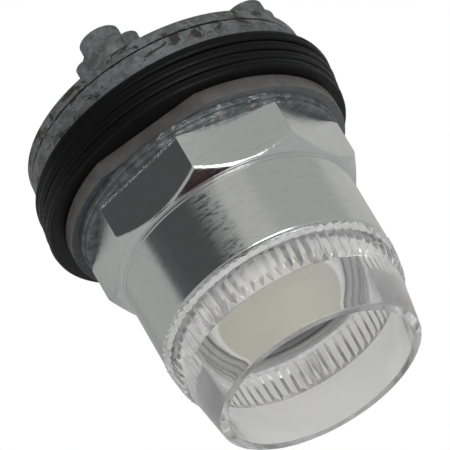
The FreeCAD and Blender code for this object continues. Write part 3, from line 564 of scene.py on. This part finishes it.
def zinc_washer():
    """Blue-grey zinc plate, dull, scuffed white, with a few copper-tinted spots, and pale
    scuff-like patches on one side that are painted light.
    """
    look = Surface("zinc_washer")
    base = look.mix(look.band(look.noise(0.5, 6, 0.65), 0.36, 0.64),
                    (0.07, 0.083, 0.09), (0.15, 0.165, 0.168))
    speck = look.band(look.noise(3.2, 6, 0.75), 0.58, 0.72)
    base = look.mix(speck, base, (0.34, 0.35, 0.345))
    copper = look.band(look.noise(0.8, 7, 0.75, (0.8, 0.8, 2), 0.3), 0.55, 0.68)
    copper = look.math("MULTIPLY", copper, look.band(look.across(COPPER_AND_PAINTED_LIGHT_TURN - 90), 18.0, 19.5))
    base = look.mix(copper, base, (0.30, 0.225, 0.20))
    # Painted light: pale scuff-like patches on the side of the washer where light falls, beside
    # the copper tint.
    painted_light_scuffs = look.band(look.noise(0.9, 8, 0.72, (0.7, 0.7, 2.5), 0.4), 0.53, 0.64)
    painted_light_scuffs = look.math("MULTIPLY", painted_light_scuffs, look.band(look.across(COPPER_AND_PAINTED_LIGHT_TURN - 90), 16.5, 19.0))
    base = look.mix(painted_light_scuffs, base, (0.50, 0.51, 0.50))
    look.feed("Base Color", base)
    look.feed("Metallic", 0.55)
    look.feed("Roughness", look.band(look.noise(1.2, 4), 0.3, 0.7, 0.36, 0.58))
    look.bump(look.noise(3.0, 7, 0.7), 0.5, 0.0001)
    return look.material


def gasket_rubber():
    """Black moulded rubber with a little dust, and fine lines round the edge."""
    look = Surface("gasket_rubber")
    dust = look.band(look.noise(0.9, 7, 0.75, (1, 1, 0.7)), 0.55, 0.9)
    look.feed("Base Color", look.mix(dust, (0.0030, 0.0030, 0.0035), (0.013, 0.013, 0.014)))
    look.feed("Roughness", look.band(look.noise(1.8, 5, 0.6), 0.3, 0.7, 0.34, 0.55))
    look.feed("Specular IOR Level", 0.16)
    look.bump(look.noise(1.0, 5, 0.6, (0.25, 0.25, 5)), 0.35, 0.00012)
    look.bump(look.noise(5, 5, 0.7), 0.25, 0.00004)
    return look.material


def trim_plastic():
    """Warm grey moulded plastic whose front face is dark slate, painted lighter towards +X as
    painted light.
    """
    look = Surface("trim_plastic")
    side = look.mix(look.band(look.noise(0.35, 4, 0.6), 0.35, 0.65),
                    (0.078, 0.076, 0.072), (0.098, 0.095, 0.090))
    face = look.mix(look.band(look.noise(0.8, 6, 0.7), 0.35, 0.7),
                    (0.028, 0.034, 0.039), (0.052, 0.058, 0.062))
    # Painted light: the front face is painted lighter towards +X, as if lit from that side.
    painted_light_side = look.band(look.along("X"), 0.0, 14.0)
    face = look.mix(painted_light_side, face, look.mix(look.band(look.noise(0.8, 6, 0.7), 0.35, 0.7),
                                          (0.066, 0.070, 0.072), (0.094, 0.098, 0.098)))
    look.feed("Base Color", look.mix(look.band(look.facing("Z"), 0.6, 0.9), side, face))
    look.feed("Roughness", look.band(look.noise(2.0, 4), 0.3, 0.7, 0.42, 0.55))
    look.feed("Specular IOR Level", 0.3)
    look.bump(look.noise(6.0, 5, 0.6), 0.2, 0.00004)
    return look.material


def chrome():
    """Bright chrome plate over a turned body: grain, pits, scratches, and one strip of dark
    streaks on the barrel that is a painted reflection.
    """
    look = Surface("chrome")
    haze = look.band(look.noise(0.6, 6, 0.7, (0.6, 0.6, 2.4)), 0.45, 0.8)
    colour = look.mix(haze, (0.71, 0.722, 0.722), (0.65, 0.65, 0.64))
    vein = look.math("ABSOLUTE", look.math("SUBTRACT", look.noise(0.04, 0, 0.4), 0.47), 0.0)
    hairline = look.band(vein, 0.0, 0.0009, 1.0, 0.0)
    colour = look.mix(hairline, colour, (0.52, 0.52, 0.51))
    burr = look.math("MULTIPLY",
                     look.band(look.along("Z"), NUT_BURR_TOP - 0.2, NUT_BURR_TOP, 1.0, 0.0),
                     look.band(look.towards(NUT_BURR_TURN), 0.9, 0.97))
    spark = look.noise(3.0, 6, 0.75)
    burr = look.math("MULTIPLY", burr, look.band(spark, 0.46, 0.54))
    colour = look.mix(burr, colour, (0.78, 0.79, 0.84))
    # Painted reflection: dark streaks on the barrel that stand for the streaky edge of a dark
    # reflection; the same strip also gets a little bump relief.
    painted_reflection_strip = look.math("MULTIPLY",
                     look.band(look.math("ABSOLUTE", look.across(BARREL_STREAK_TURN), 0.0),
                               1.0, 2.8, 1.0, 0.0),
                     look.band(look.across(BARREL_STREAK_TURN - 90), 0.0, 5.0))
    painted_reflection_strip = look.math("MULTIPLY", painted_reflection_strip, look.band(look.along("Z"), NUT_STREAK_REAR,
                                                 NUT_STREAK_REAR + 0.6))
    streaks = look.noise(0.8, 5, 0.7, (0.55, 0.55, 2.6), 0.4)
    colour = look.mix(look.math("MULTIPLY", painted_reflection_strip, look.band(streaks, 0.5, 0.62)), colour,
                      (0.22, 0.22, 0.225))
    inside = look.band(look.from_axis(), NUT_INSIDE, NUT_INSIDE + 0.3, 1.0, 0.0)
    colour = look.mix(inside, colour, (0.80, 0.80, 0.79))
    look.feed("Base Color", colour)
    look.feed("Metallic", look.math("SUBTRACT", 1.0, look.math("MULTIPLY", inside, 0.8)))
    grain = look.noise(0.9, 6, 0.72, (0.22, 0.22, 6))
    rough = look.math("ADD", look.math("MULTIPLY", burr, 0.25),
                      look.math("MULTIPLY", inside, 0.4))
    look.feed("Roughness", look.math("ADD", look.band(grain, 0.3, 0.75, 0.045, 0.13), rough))
    look.bump(grain, 0.3, 0.00003)
    look.bump(look.noise(0.7, 4, 0.62, (0.45, 0.45, 1.6)), 0.5, 0.00007)
    look.bump(look.noise(6.0, 6, 0.75), 0.5, 0.00003)
    # Bump relief along the strip of painted reflection streaks.
    look.bump(look.math("MULTIPLY", painted_reflection_strip, look.math("SUBTRACT", streaks, 0.5)), 1.0, 0.00005)
    pits = look.band(look.cells(0.36), 0.0, 0.07)
    look.bump(pits, 0.4, 0.00008)
    look.bump(look.math("MULTIPLY", burr, spark), 1.0, 0.00025)
    return look.material


def clear_plastic():
    """Clear moulded plastic with a faint lavender cast, milkier in the knurl and thread."""
    look = Surface("clear_plastic")
    look.feed("Base Color", look.mix(look.band(look.noise(0.12, 2), 0.3, 0.7),
                                     (0.955, 0.95, 0.97), (0.97, 0.97, 0.97)))
    look.feed("Transmission Weight",
              look.band(look.along("Z"), SLEEVE_LINE, SLEEVE_LINE + 0.8, 0.88, 0.9))
    look.feed("IOR", 1.49)
    look.feed("Roughness", look.band(look.noise(1.4, 5, 0.6), 0.35, 0.75, 0.01, 0.05))
    look.bump(look.noise(0.3, 3, 0.5), 0.12, 0.0001)
    return look.material


def opal_plastic():
    """Opal cream plastic that light enters a little way."""
    look = Surface("opal_plastic")
    colour = look.mix(look.band(look.noise(0.1, 3), 0.3, 0.7),
                      (0.465, 0.44, 0.34), (0.5, 0.475, 0.375))
    edge = look.band(look.facing("Z"), 0.93, 0.995)
    look.feed("Base Color", look.mix(edge, (0.93, 0.92, 0.88), colour))
    look.feed("Subsurface Weight", 0.3)
    look.feed("Subsurface Radius", (0.002, 0.0018, 0.0012))
    look.feed("Subsurface Scale", 1.0)
    look.feed("Roughness", look.band(look.noise(2.2, 4), 0.3, 0.7, 0.3, 0.38))
    look.feed("Specular IOR Level", 0.35)
    look.bump(look.noise(0.25, 3), 0.15, 0.0001)
    return look.material


def moulded(name, dark, light):
    """Plain moulded plastic or rubber with slight mottling."""
    look = Surface(name)
    look.feed("Base Color", look.mix(look.band(look.noise(0.6, 5, 0.6), 0.3, 0.7), dark, light))
    look.feed("Roughness", look.band(look.noise(2.0, 4), 0.3, 0.7, 0.38, 0.52))
    look.bump(look.noise(5.0, 5, 0.6), 0.2, 0.00004)
    return look.material


def metal(name, dark, light):
    """Machined or drawn metal with fine grain."""
    look = Surface(name)
    look.feed("Base Color", look.mix(look.band(look.noise(0.9, 5, 0.6), 0.3, 0.7), dark, light))
    look.feed("Metallic", 1.0)
    grain = look.noise(2.4, 5, 0.6, (1, 1, 4))
    look.feed("Roughness", look.band(grain, 0.3, 0.7, 0.2, 0.36))
    look.bump(grain, 0.2, 0.00003)
    return look.material


def lamp_glass():
    """Clear glass of the lamp's bulb."""
    look = Surface("lamp_glass")
    look.feed("Base Color", look.mix(look.band(look.noise(0.3, 2), 0.3, 0.7),
                                     (0.94, 0.95, 0.95), (0.98, 0.98, 0.98)))
    look.feed("Transmission Weight", 1.0)
    look.feed("IOR", 1.5)
    look.feed("Roughness", look.band(look.noise(1.0, 3), 0.3, 0.7, 0.01, 0.04))
    return look.material


MATERIALS = {
    "zinc_casting": zinc_casting(),
    "zinc_washer": zinc_washer(),
    "gasket_rubber": gasket_rubber(),
    "trim_plastic": trim_plastic(),
    "chrome": chrome(),
    "clear_plastic": clear_plastic(),
    "opal_plastic": opal_plastic(),
    "lamp_glass": lamp_glass(),
    "seal_rubber": moulded("seal_rubber", (0.010, 0.010, 0.011), (0.020, 0.020, 0.021)),
    "seal_silicone": moulded("seal_silicone", (0.62, 0.62, 0.61), (0.72, 0.72, 0.71)),
    "plunger_plastic": moulded("plunger_plastic", (0.018, 0.018, 0.020), (0.032, 0.032, 0.034)),
    "socket_plastic": moulded("socket_plastic", (0.055, 0.022, 0.012), (0.085, 0.036, 0.020)),
    "spring_steel": metal("spring_steel", (0.45, 0.45, 0.46), (0.62, 0.62, 0.63)),
    "nickel_brass": metal("nickel_brass", (0.52, 0.50, 0.44), (0.68, 0.66, 0.60)),
    "bare_brass": metal("bare_brass", (0.55, 0.40, 0.16), (0.72, 0.54, 0.24)),
    "screw_steel": metal("screw_steel", (0.44, 0.45, 0.47), (0.60, 0.61, 0.62)),
}


# ---- Gaskets ----
def gasket(node, phase):
    """One rubber ring: rounded edges, and a face that is not quite flat."""
    low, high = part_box(node)
    centre = ((low.x + high.x) / 2, (low.y + high.y) / 2)
    outer = max((Vector((p.x, p.y)) - Vector(centre)).length for p in points_of(node))
    inner = min((Vector((p.x, p.y)) - Vector(centre)).length for p in points_of(node))
    middle = (low.z + high.z) / 2
    outline = rounded([
        (inner, low.z),
        (outer, low.z),
        (outer, middle - GASKET_RIDGE),
        (outer + GASKET_RIDGE, middle),
        (outer, middle + GASKET_RIDGE),
        (outer, high.z),
        (inner, high.z),
    ], {1: GASKET_ROUNDING, 5: GASKET_ROUNDING}, 6)

    def place(point, angle):
        radius, height = point
        if radius > (inner + outer) / 2:
            radius += (GASKET_WAVE * math.sin(3 * angle + phase)
                       + GASKET_RIPPLE * math.sin(7 * angle + 2 * phase) - GASKET_SHRINK)
        return radius, height

    mesh = ring_mesh(node, outline, COLUMNS, place, centre)
    add_piece("rubber_" + node, mesh, "base", node, "gasket_rubber")


# ---- Washers ----
def trim_washer():
    """Moulded ring with a rear rebate and one flat near the side of a post."""
    node = "trim_washer"
    low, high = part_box(node)
    radius = reach(node)
    inner = bore(node)
    turn = math.radians(TRIM_TURN)
    flat = max(p.y * math.cos(turn) - p.x * math.sin(turn) for p in points_of(node))
    outline = rounded([
        (inner, low.z),
        (radius - TRIM_LIP, low.z),
        (radius - TRIM_LIP, low.z + TRIM_LIP),
        (radius, low.z + TRIM_LIP),
        (radius, high.z),
        (inner, high.z),
    ], {3: TRIM_EDGE, 4: TRIM_EDGE}, 3)

    def place(point, angle):
        distance, height = point
        slope = math.sin(angle - turn)
        if slope > 0.5:
            distance = min(distance, (flat - (radius - distance) * TRIM_FOLLOW) / slope)
        return distance, height

    mesh = ring_mesh(node, outline, TRIM_COLUMNS, place)
    add_piece("moulded_washer", mesh, "clamp_washers", node, "trim_plastic")


def thrust_washer():
    """Zinc washer turned in two steps."""
    node = "thrust_washer"
    low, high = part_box(node)
    step = low.z + THRUST_STEP
    small = reach(node, step + NEAR, high.z)
    large = reach(node, low.z, step)
    inner = bore(node)
    outline = rounded([
        (inner, low.z),
        (large, low.z),
        (large, step),
        (small, step),
        (small, high.z),
        (inner, high.z),
    ], THRUST_ROUNDING, 4)
    add_piece("stepped_washer", lathe(node, outline), "clamp_washers", node, "zinc_washer")


# ---- Ring nut ----
def ring_nut():
    """Octagon, chamfer cone, bead and barrel, one closed grid of quads."""
    node = "ring_nut"
    low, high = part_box(node)
    corner = reach(node, low.z, low.z + 0.5 * MM)
    corner_point = max(points_of(node), key=lambda p: math.hypot(p.x, p.y))
    corner_angle = math.atan2(corner_point.y, corner_point.x)
    half_width = corner * math.cos(math.pi / OCTAGON_SIDES)
    corner_top = low.z + NUT_CORNER_HEIGHT
    cone_top = low.z + NUT_CONE_HEIGHT
    cone_radius = reach(node, cone_top - 2 * NEAR, cone_top + NEAR) - NUT_CONE_STEP
    barrel = reach(node, high.z - 0.6 * MM, high.z)
    nut_bore = bore(node, low.z, low.z + 10 * MM)
    socket = bore(node, high.z - 2 * MM, high.z)
    socket_rear = low.z + NUT_SOCKET_HEIGHT
    slope = (cone_top - corner_top) / (corner - cone_radius)
    cone_run = math.cos(math.atan(slope))
    cone_rise = math.sin(math.atan(slope))
    side = 2 * math.pi / OCTAGON_SIDES

    def octagon(angle):
        turn = (angle - corner_angle) % side - side / 2
        return half_width / math.cos(turn)

    def facet(height, shrink=0.0):
        return lambda angle: (octagon(angle) - shrink, low.z + height)

    def facet_edge(share):
        """The rounding between facet and cone, from the facet at 0 to the cone at 1."""
        def row(angle):
            radius = octagon(angle)
            height = corner_top + (corner - radius) * slope
            down = (1 - share) ** 2 * FACET_ROUNDING
            along = min(share ** 2 * FACET_ROUNDING, (radius - cone_radius) * FACET_LIMIT)
            return (radius - along * cone_run, height - down + along * cone_rise)
        return row

    bead = barrel + BEAD_RADIUS_STEP
    bead_rear, bead_front, barrel_rear = (cone_top + height for height in BEAD_HEIGHTS)
    turned_part = rounded([
        (cone_radius, cone_top),
        (bead, bead_rear),
        (bead, bead_front),
        (barrel, barrel_rear),
        (barrel, high.z),
        (socket, high.z),
        (socket, socket_rear),
        (nut_bore, socket_rear),
        (nut_bore, low.z + NUT_LEAD),
        (nut_bore + NUT_LEAD, low.z),
    ], NUT_ROUNDING, 5)
    rows = [facet(0.0, NUT_EDGE), facet(NUT_EDGE), facet(FACET_ROW)]
    rows += [facet_edge(step / FACET_STEPS) for step in range(FACET_STEPS + 1)]
    rows += [(lambda angle, point=point: point) for point in turned_part]

    def place(row, angle):
        return row(angle + corner_angle)

    mesh = ring_mesh(node, rows, OCTAGON_SIDES * COLUMNS_PER_SIDE, place, sharp=NUT_CREASE)
    mesh.transform(Matrix.Rotation(corner_angle, 4, "Z"))
    bevel(add_piece("plated_nut", mesh, "ring_nut", node, "chrome"), NUT_BEVEL, NUT_BEVEL_ANGLE)


# ---- Clear guard ----
def guard():
    """Threaded neck, knurled ring and drafted sleeve in one closed grid of quads."""
    node = "guard"
    low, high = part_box(node)
    knurl_rear = low.z + GUARD_NECK_LENGTH
    knurl_front = knurl_rear + KNURL_LENGTH
    neck = reach(node, low.z, low.z + NEAR)
    peak = reach(node, knurl_rear - NEAR, knurl_rear + NEAR)
    tip = peak - KNURL_TAPER
    rim_bore = bore(node, high.z - 1 * MM, high.z)
    rim = reach(node, high.z - 0.5 * MM, high.z)
    neck_bore = bore(node, low.z, low.z + 1 * MM)
    half = COLUMNS_PER_TOOTH // 2

    def tooth(angle):
        """The tooth's height, as a share of its full height."""
        column = round(angle * COLUMNS_PER_TOOTH * KNURL_TEETH / (2 * math.pi))
        return TOOTH_SECTION[abs((column + half) % COLUMNS_PER_TOOTH - half)]

    def plain(radius, height):
        return lambda angle: (radius, height)

    def knurled(height):
        share = (height - knurl_rear) / KNURL_LENGTH
        root = peak - KNURL_DEPTH - KNURL_TAPER * share
        limit = tip - (height - knurl_front + KNURL_CHAMFER) * KNURL_DEPTH / KNURL_CHAMFER
        return lambda angle: (min(limit, root + KNURL_DEPTH * tooth(angle)), height)

    rows = [plain(neck, low.z + GUARD_CHAMFER)]
    for ring in range(GUARD_RINGS):
        groove = low.z + GUARD_RING_START + GUARD_RING_PITCH * ring
        rows += [plain(neck, groove - GUARD_RING_HALF), plain(neck - GUARD_RING_DEPTH, groove),
                 plain(neck, groove + GUARD_RING_HALF)]
    step_out, step_up = GUARD_SHOULDER
    rows += [plain(neck, knurl_rear - step_up), plain(neck + step_out, knurl_rear)]
    chamfer_start = knurl_front - KNURL_CHAMFER
    rows += [knurled(knurl_rear + share * (chamfer_start - knurl_rear)) for share in KNURL_ROWS]
    rows += [knurled(knurl_front - KNURL_CHAMFER * share) for share in TOOTH_SECTION[1:-1]]
    rows += [knurled(knurl_front)]
    foot_in, foot_up = SLEEVE_FOOT
    sleeve = rounded([
        (tip - KNURL_DEPTH - foot_in, knurl_front + foot_up),
        (rim, high.z),
        (rim_bore, high.z),
        (neck_bore, knurl_rear),
        (neck_bore, low.z),
        (neck - GUARD_CHAMFER, low.z),
    ], SLEEVE_ROUNDING, 8)
    first, second = sleeve[:2]
    for step in range(SLEEVE_ROWS):
        share = step / SLEEVE_ROWS
        rows.append(plain(first[0] + (second[0] - first[0]) * share,
                          first[1] + (second[1] - first[1]) * share))
    rows += [plain(*point) for point in sleeve[1:]]

    mesh = ring_mesh(node, rows, KNURL_TEETH * COLUMNS_PER_TOOTH,
                     lambda row, angle: row(angle), sharp=GUARD_CREASE)
    mesh.transform(Matrix.Rotation(math.radians(KNURL_TURN), 4, "Z"))
    add_piece("clear_guard", mesh, "guard", node, "clear_plastic")


# ---- Lens ----
def lens():
    """Opal cap: slightly domed face, soft shoulder, hollow behind."""
    node = "lens"
    low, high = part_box(node)
    radius = reach(node)
    inner = bore(node, low.z, low.z + 1 * MM)
    flat = radius - LENS_SHOULDER
    shoulder = high.z - LENS_CROWN
    inside = high.z - LENS_WALL
    outline = [(0.0, high.z)]
    for step in range(1, LENS_ROWS + 1):
        share = step / LENS_ROWS
        outline.append((flat * share, high.z - LENS_CROWN * share * share))
    for angle in range(10, 91, 8):
        outline.append((flat + LENS_SHOULDER * math.sin(math.radians(angle)),
                        shoulder - LENS_SHOULDER * (1 - math.cos(math.radians(angle)))))
    outline += [
        (radius, low.z),
        (inner, low.z),
        (inner, inside - LENS_CORNER),
        (inner - LENS_CORNER, inside),
        (0.0, inside),
    ]
    add_piece("opal_lens", lathe(node, outline), "button", node, "opal_plastic")


# ---- Base casting ----
def base_casting():
    """Flange and neck turned, then posts and pads joined and the holes cut."""
    node = "base_casting"
    low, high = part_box(node)
    flange_rear = low.z + FLANGE_HEIGHT
    parting = flange_rear + PARTING_HEIGHT
    flange_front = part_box("gasket_rear")[0].z
    floor = flange_rear + FLOOR_THICKNESS
    flange = reach(node, flange_front - 2 * MM, flange_front + NEAR)
    neck = reach(node, flange_front + 1 * MM, high.z)
    face = high.z
    groove_inner, groove_outer = (PLUNGER_BORE + distance for distance in SEAL_GROOVE)
    groove_floor = face - SEAL_GROOVE_DEPTH
    outline = [
        (0.0, flange_rear),
        (flange - 2 * PARTING_STEP, flange_rear),
        (flange - PARTING_STEP, parting - 0.12 * MM),
        (flange - 0.3 * MM, parting),
        (flange, parting + 0.14 * MM),
        (flange, flange_front),
        (neck, flange_front),
    ]
    groove = THREAD_START
    while groove < face - THREAD_END:
        outline += [(neck, groove - THREAD_HALF), (neck - THREAD_DEPTH, groove),
                    (neck, groove + THREAD_HALF)]
        groove += THREAD_PITCH
    outline += [
        (neck, face - NECK_LEAD),
        (neck - NECK_LEAD, face),
        (groove_outer, face),
        (groove_outer, groove_floor),
        (groove_inner, groove_floor),
        (groove_inner, face),
        (PLUNGER_BORE, face),
        (PLUNGER_BORE, GUIDE_FRONT),
        (GUIDE_BORE, GUIDE_FRONT),
        (GUIDE_BORE, GUIDE_REAR),
        (PLUNGER_BORE, GUIDE_REAR),
        (PLUNGER_BORE, floor),
        (0.0, floor),
    ]
    outline = rounded(outline, {1: FLANGE_ROUNDING}, 5)
    blank = lathe(node, outline)
    blank.transform(Matrix.Rotation(math.radians(BLANK_TURN), 4, "Z"))
    piece = add_piece("cast_base", blank, "base", node, "zinc_casting")

    holes = [m for m in frame["record"]["mounts"] if m["name"] == "contact_block_holes"][0]
    post_circle = holes["dims"]["pcd_mm"] / 2 * MM
    hole_radius = holes["dims"]["hole_r_mm"] * MM
    pad_low = low.z + PAD_HEIGHT
    joined = flange_rear + OVERLAP
    below = flange_rear - OVERLAP
    added = []
    removed = []
    for turn in (0, 90, 180, 270):
        pad = [(x + EAR_OFFSET, y + post_circle) for x, y in arc((0, 0), EAR_RADIUS, -90, 90, 14)]
        pad += [(x - EAR_OFFSET, y + post_circle) for x, y in arc((0, 0), EAR_RADIUS, 90, 270, 14)]
        boss, post, free_end = (
            turned(arc((0, post_circle), radius, 0, 354, 59), turn)
            for radius in (POST_RADIUS + POST_STEP, POST_RADIUS, POST_RADIUS - POST_DRAFT))
        hole = turned(arc((0, post_circle), hole_radius, 0, 352, 44), turn)
        added.append(prism(turned(pad, turn), pad_low, joined))
        added.append(prism(boss, pad_low - NUDGE, joined + NUDGE))
        added.append(prism(post, low.z, pad_low + OVERLAP, free_end))
        removed.append(prism(hole, low.z - OVERLAP, low.z + POST_HOLE_DEPTH))
        first, last = POCKET_ANGLES
        pocket = arc((0, 0), post_circle + POCKET_HALF, first, last, 16)
        pocket += arc((0, 0), post_circle - POCKET_HALF, last, first, 16)
        removed.append(prism(turned(pocket, turn), below, flange_rear + POCKET_DEPTH))
    removed.append(prism(arc((0, 0), SOCKET_OPENING, 0, 357, 119), below, floor + OVERLAP))
    slot_inner, slot_outer = SLOT_RADII
    for turn in (0, 180):
        slot = arc((0, 0), slot_outer, -SLOT_HALF_ANGLE, SLOT_HALF_ANGLE, 20)
        slot += arc((0, 0), slot_inner, SLOT_HALF_ANGLE, -SLOT_HALF_ANGLE, 20)
        removed.append(prism(turned(slot, turn), below, floor + OVERLAP))
    combine(piece, added, "UNION")
    combine(piece, removed, "DIFFERENCE")
    shade(piece.data)
    finish_with(piece, "zinc_casting")
    bevel(piece, CASTING_BEVEL, CASTING_BEVEL_ANGLE)


# ---- Return spring ----
def return_spring():
    """The coil between casting and plunger, a copy of its CAD mesh that rides on the base."""
    node = "return_spring"
    coil = frame["nodes"][node].data.copy()
    piece = add_piece("return_coil", coil, "base", node, "spring_steel")
    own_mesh(piece)


# ---- Camera ----
def make_camera():
    """A long lens that looks at the object from the photo's side."""
    tilt, turn, lean = (math.radians(value) for value in (TILT, TURN, LEAN))
    aside = Vector((math.cos(turn), -math.sin(turn), 0))
    ahead = Vector((math.sin(turn), math.cos(turn), 0))
    axis = Vector((0, 0, 1))
    back = ahead * math.sin(tilt) + axis * math.cos(tilt)
    along = axis * math.sin(tilt) - ahead * math.cos(tilt)
    right = along * math.cos(lean) + aside * math.sin(lean)
    up = aside * math.cos(lean) - along * math.sin(lean)
    aim = axis * AIM_HEIGHT + aside * AIM_ASIDE
    data = bpy.data.cameras.new("camera")
    data.lens = LENS
    data.sensor_width = SENSOR
    data.clip_start = NEAREST
    data.clip_end = FARTHEST
    camera = link_object("camera", data)
    rotation = Matrix((right, up, back)).transposed().to_4x4()
    camera.matrix_world = Matrix.Translation(aim + back * DISTANCE) @ rotation
    bpy.context.scene.camera = camera


# ---- Studio: white floor and backdrop, soft lights, and cards that the chrome mirrors ----
def stage_tree(tree, kind, output, felt, clear):
    """White to the camera, one grey to light that came through plastic, another to the rest."""
    tree.nodes.clear()
    out = tree.nodes.new(output)
    path = tree.nodes.new("ShaderNodeLightPath")
    last = None
    for colour, ray in ((felt, None), (clear, "Is Transmission Ray"), (SHOWN, "Is Camera Ray")):
        shine = tree.nodes.new(kind)
        shine.inputs["Color"].default_value = (*colour, 1)
        if last is None:
            last = shine.outputs[0]
            continue
        mix = tree.nodes.new("ShaderNodeMixShader")
        tree.links.new(path.outputs[ray], mix.inputs["Fac"])
        tree.links.new(last, mix.inputs[1])
        tree.links.new(shine.outputs[0], mix.inputs[2])
        last = mix.outputs[0]
    tree.links.new(last, out.inputs["Surface"])


def stage_plane(name, corners, felt, clear):
    """A flat glowing polygon that only sets the stage."""
    mesh = bpy.data.meshes.new(name)
    mesh.from_pydata(corners, [], [tuple(range(len(corners)))])
    plane = link_object(name, mesh)
    material = bpy.data.materials.new(name)
    material.use_nodes = True
    stage_tree(material.node_tree, "ShaderNodeEmission", "ShaderNodeOutputMaterial", felt, clear)
    mesh.materials.append(material)
    return plane


def make_floor():
    """A wide floor right under the object."""
    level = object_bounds()[0][2]
    corners = [(x * FLOOR_HALF, y * FLOOR_HALF, level)
               for x, y in ((-1, -1), (1, -1), (1, 1), (-1, 1))]
    floor = stage_plane("floor", corners, FLOOR_GLOW, THROUGH_GLOW)
    floor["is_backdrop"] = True


def make_world():
    """The backdrop."""
    world = bpy.data.worlds.new("world")
    bpy.context.scene.world = world
    world.use_nodes = True
    stage_tree(world.node_tree, "ShaderNodeBackground", "ShaderNodeOutputWorld", WORLD_GLOW,
               THROUGH_GLOW)


def heading_point(heading, distance):
    """A point at a heading, measured from the camera's side of the axis towards +X."""
    turn = math.radians(heading + TURN)
    return math.sin(turn) * distance, math.cos(turn) * distance


def card(name, corners, glow):
    """A card, dark or bright, that only mirrors see; corners are (heading, distance, height)."""
    places = [(*heading_point(heading, distance), height) for heading, distance, height in corners]
    made = stage_plane(name, places, glow, glow)
    for ray in ("camera", "diffuse", "shadow", "transmission"):
        setattr(made, "visible_" + ray, False)
    made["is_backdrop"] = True


def soft_edge(name, start, step, steps, dark, light, corners):
    """Narrow cards beside a card that lead from its glow to that of its surroundings."""
    for index in range(steps):
        share = (index + 0.5) / steps
        glow = tuple(a + (b - a) * share for a, b in zip(dark, light))
        first = start + step * index
        card("%s_%d" % (name, index), corners(first, first + step), glow)


def floor_card(first, last):
    """Corners of a ring sector lying just over the floor, between two headings."""
    near, distant = FLOOR_CARD
    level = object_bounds()[0][2] + CARD_LIFT
    step = CARD_STEP if last > first else -CARD_STEP
    headings = list(range(first, last, step)) + [last]
    corners = [(heading, distant, level) for heading in headings]
    return corners + [(heading, near, level) for heading in reversed(headings)]


def upper_card(first, last):
    """Corners of a card over the object that leans towards it."""
    low, high = UPPER_CARD
    return [(first, *low), (last, *low), (last * UPPER_NARROWING, *high),
            (first * UPPER_NARROWING, *high)]


def soft_light(name, heading, height, distance, size, power, unseen=()):
    """A soft box, (width, height) in size, that looks at the middle of the object."""
    data = bpy.data.lights.new(name, "AREA")
    data.shape = "RECTANGLE"
    data.size, data.size_y = size
    data.energy = power
    lamp = link_object(name, data)
    turn, rise = math.radians(heading + TURN), math.radians(height)
    spot = Vector((math.sin(turn) * math.cos(rise), math.cos(turn) * math.cos(rise),
                   math.sin(rise))) * distance
    lamp.location = spot
    lamp.rotation_euler = (-spot).to_track_quat("-Z", "Y").to_euler()
    for ray in unseen:
        setattr(lamp, "visible_" + ray, False)


# ---- The pieces, the camera and the studio ----
for number, gasket_node in enumerate(("gasket_rear", "gasket_second", "gasket_third",
                                      "gasket_front")):
    gasket(gasket_node, GASKET_PHASE * number)
trim_washer()
thrust_washer()
ring_nut()
guard()
lens()
base_casting()
return_spring()

# CAD nodes that keep their own shape
slots = {entry["node"]: entry["material_slot"] for entry in frame["record"]["subparts"]}
for kept_node, carried in frame["nodes"].items():
    finish_with(carried, slots[kept_node])

make_camera()
make_floor()
make_world()
card("dark_flag", floor_card(-56, -21), DARK)
card("blue_flag", floor_card(-70, -56), (0.098, 0.100, 0.108))
soft_edge("floor_edge", -21, 4, 6, DARK, FLOOR_GLOW, floor_card)
card("bright_card", floor_card(3, 30), (0.51, 0.51, 0.495))
card("left_card", floor_card(-150, -124), (0.36, 0.365, 0.36))
card("right_card", floor_card(100, 150), (0.54, 0.54, 0.53))
card("upper_flag", upper_card(-34, 40), UPPER_DARK)
soft_edge("upper_edge", -34, -6, 4, UPPER_DARK, WORLD_GLOW, upper_card)
soft_light("key", 25, 10, 0.9, (0.5, 0.3), 3.4)
soft_light("fill", -85, 30, 1.0, (0.6, 0.6), 3.2, ("glossy", "transmission"))
soft_light("side", 80, 58, 1.0, (0.6, 0.6), 4.2, ("glossy",))

light_paths = bpy.context.scene.cycles
light_paths.max_bounces = 24
light_paths.glossy_bounces = 16
light_paths.transmission_bounces = 24
bpy.context.scene.view_settings.view_transform = "Standard"
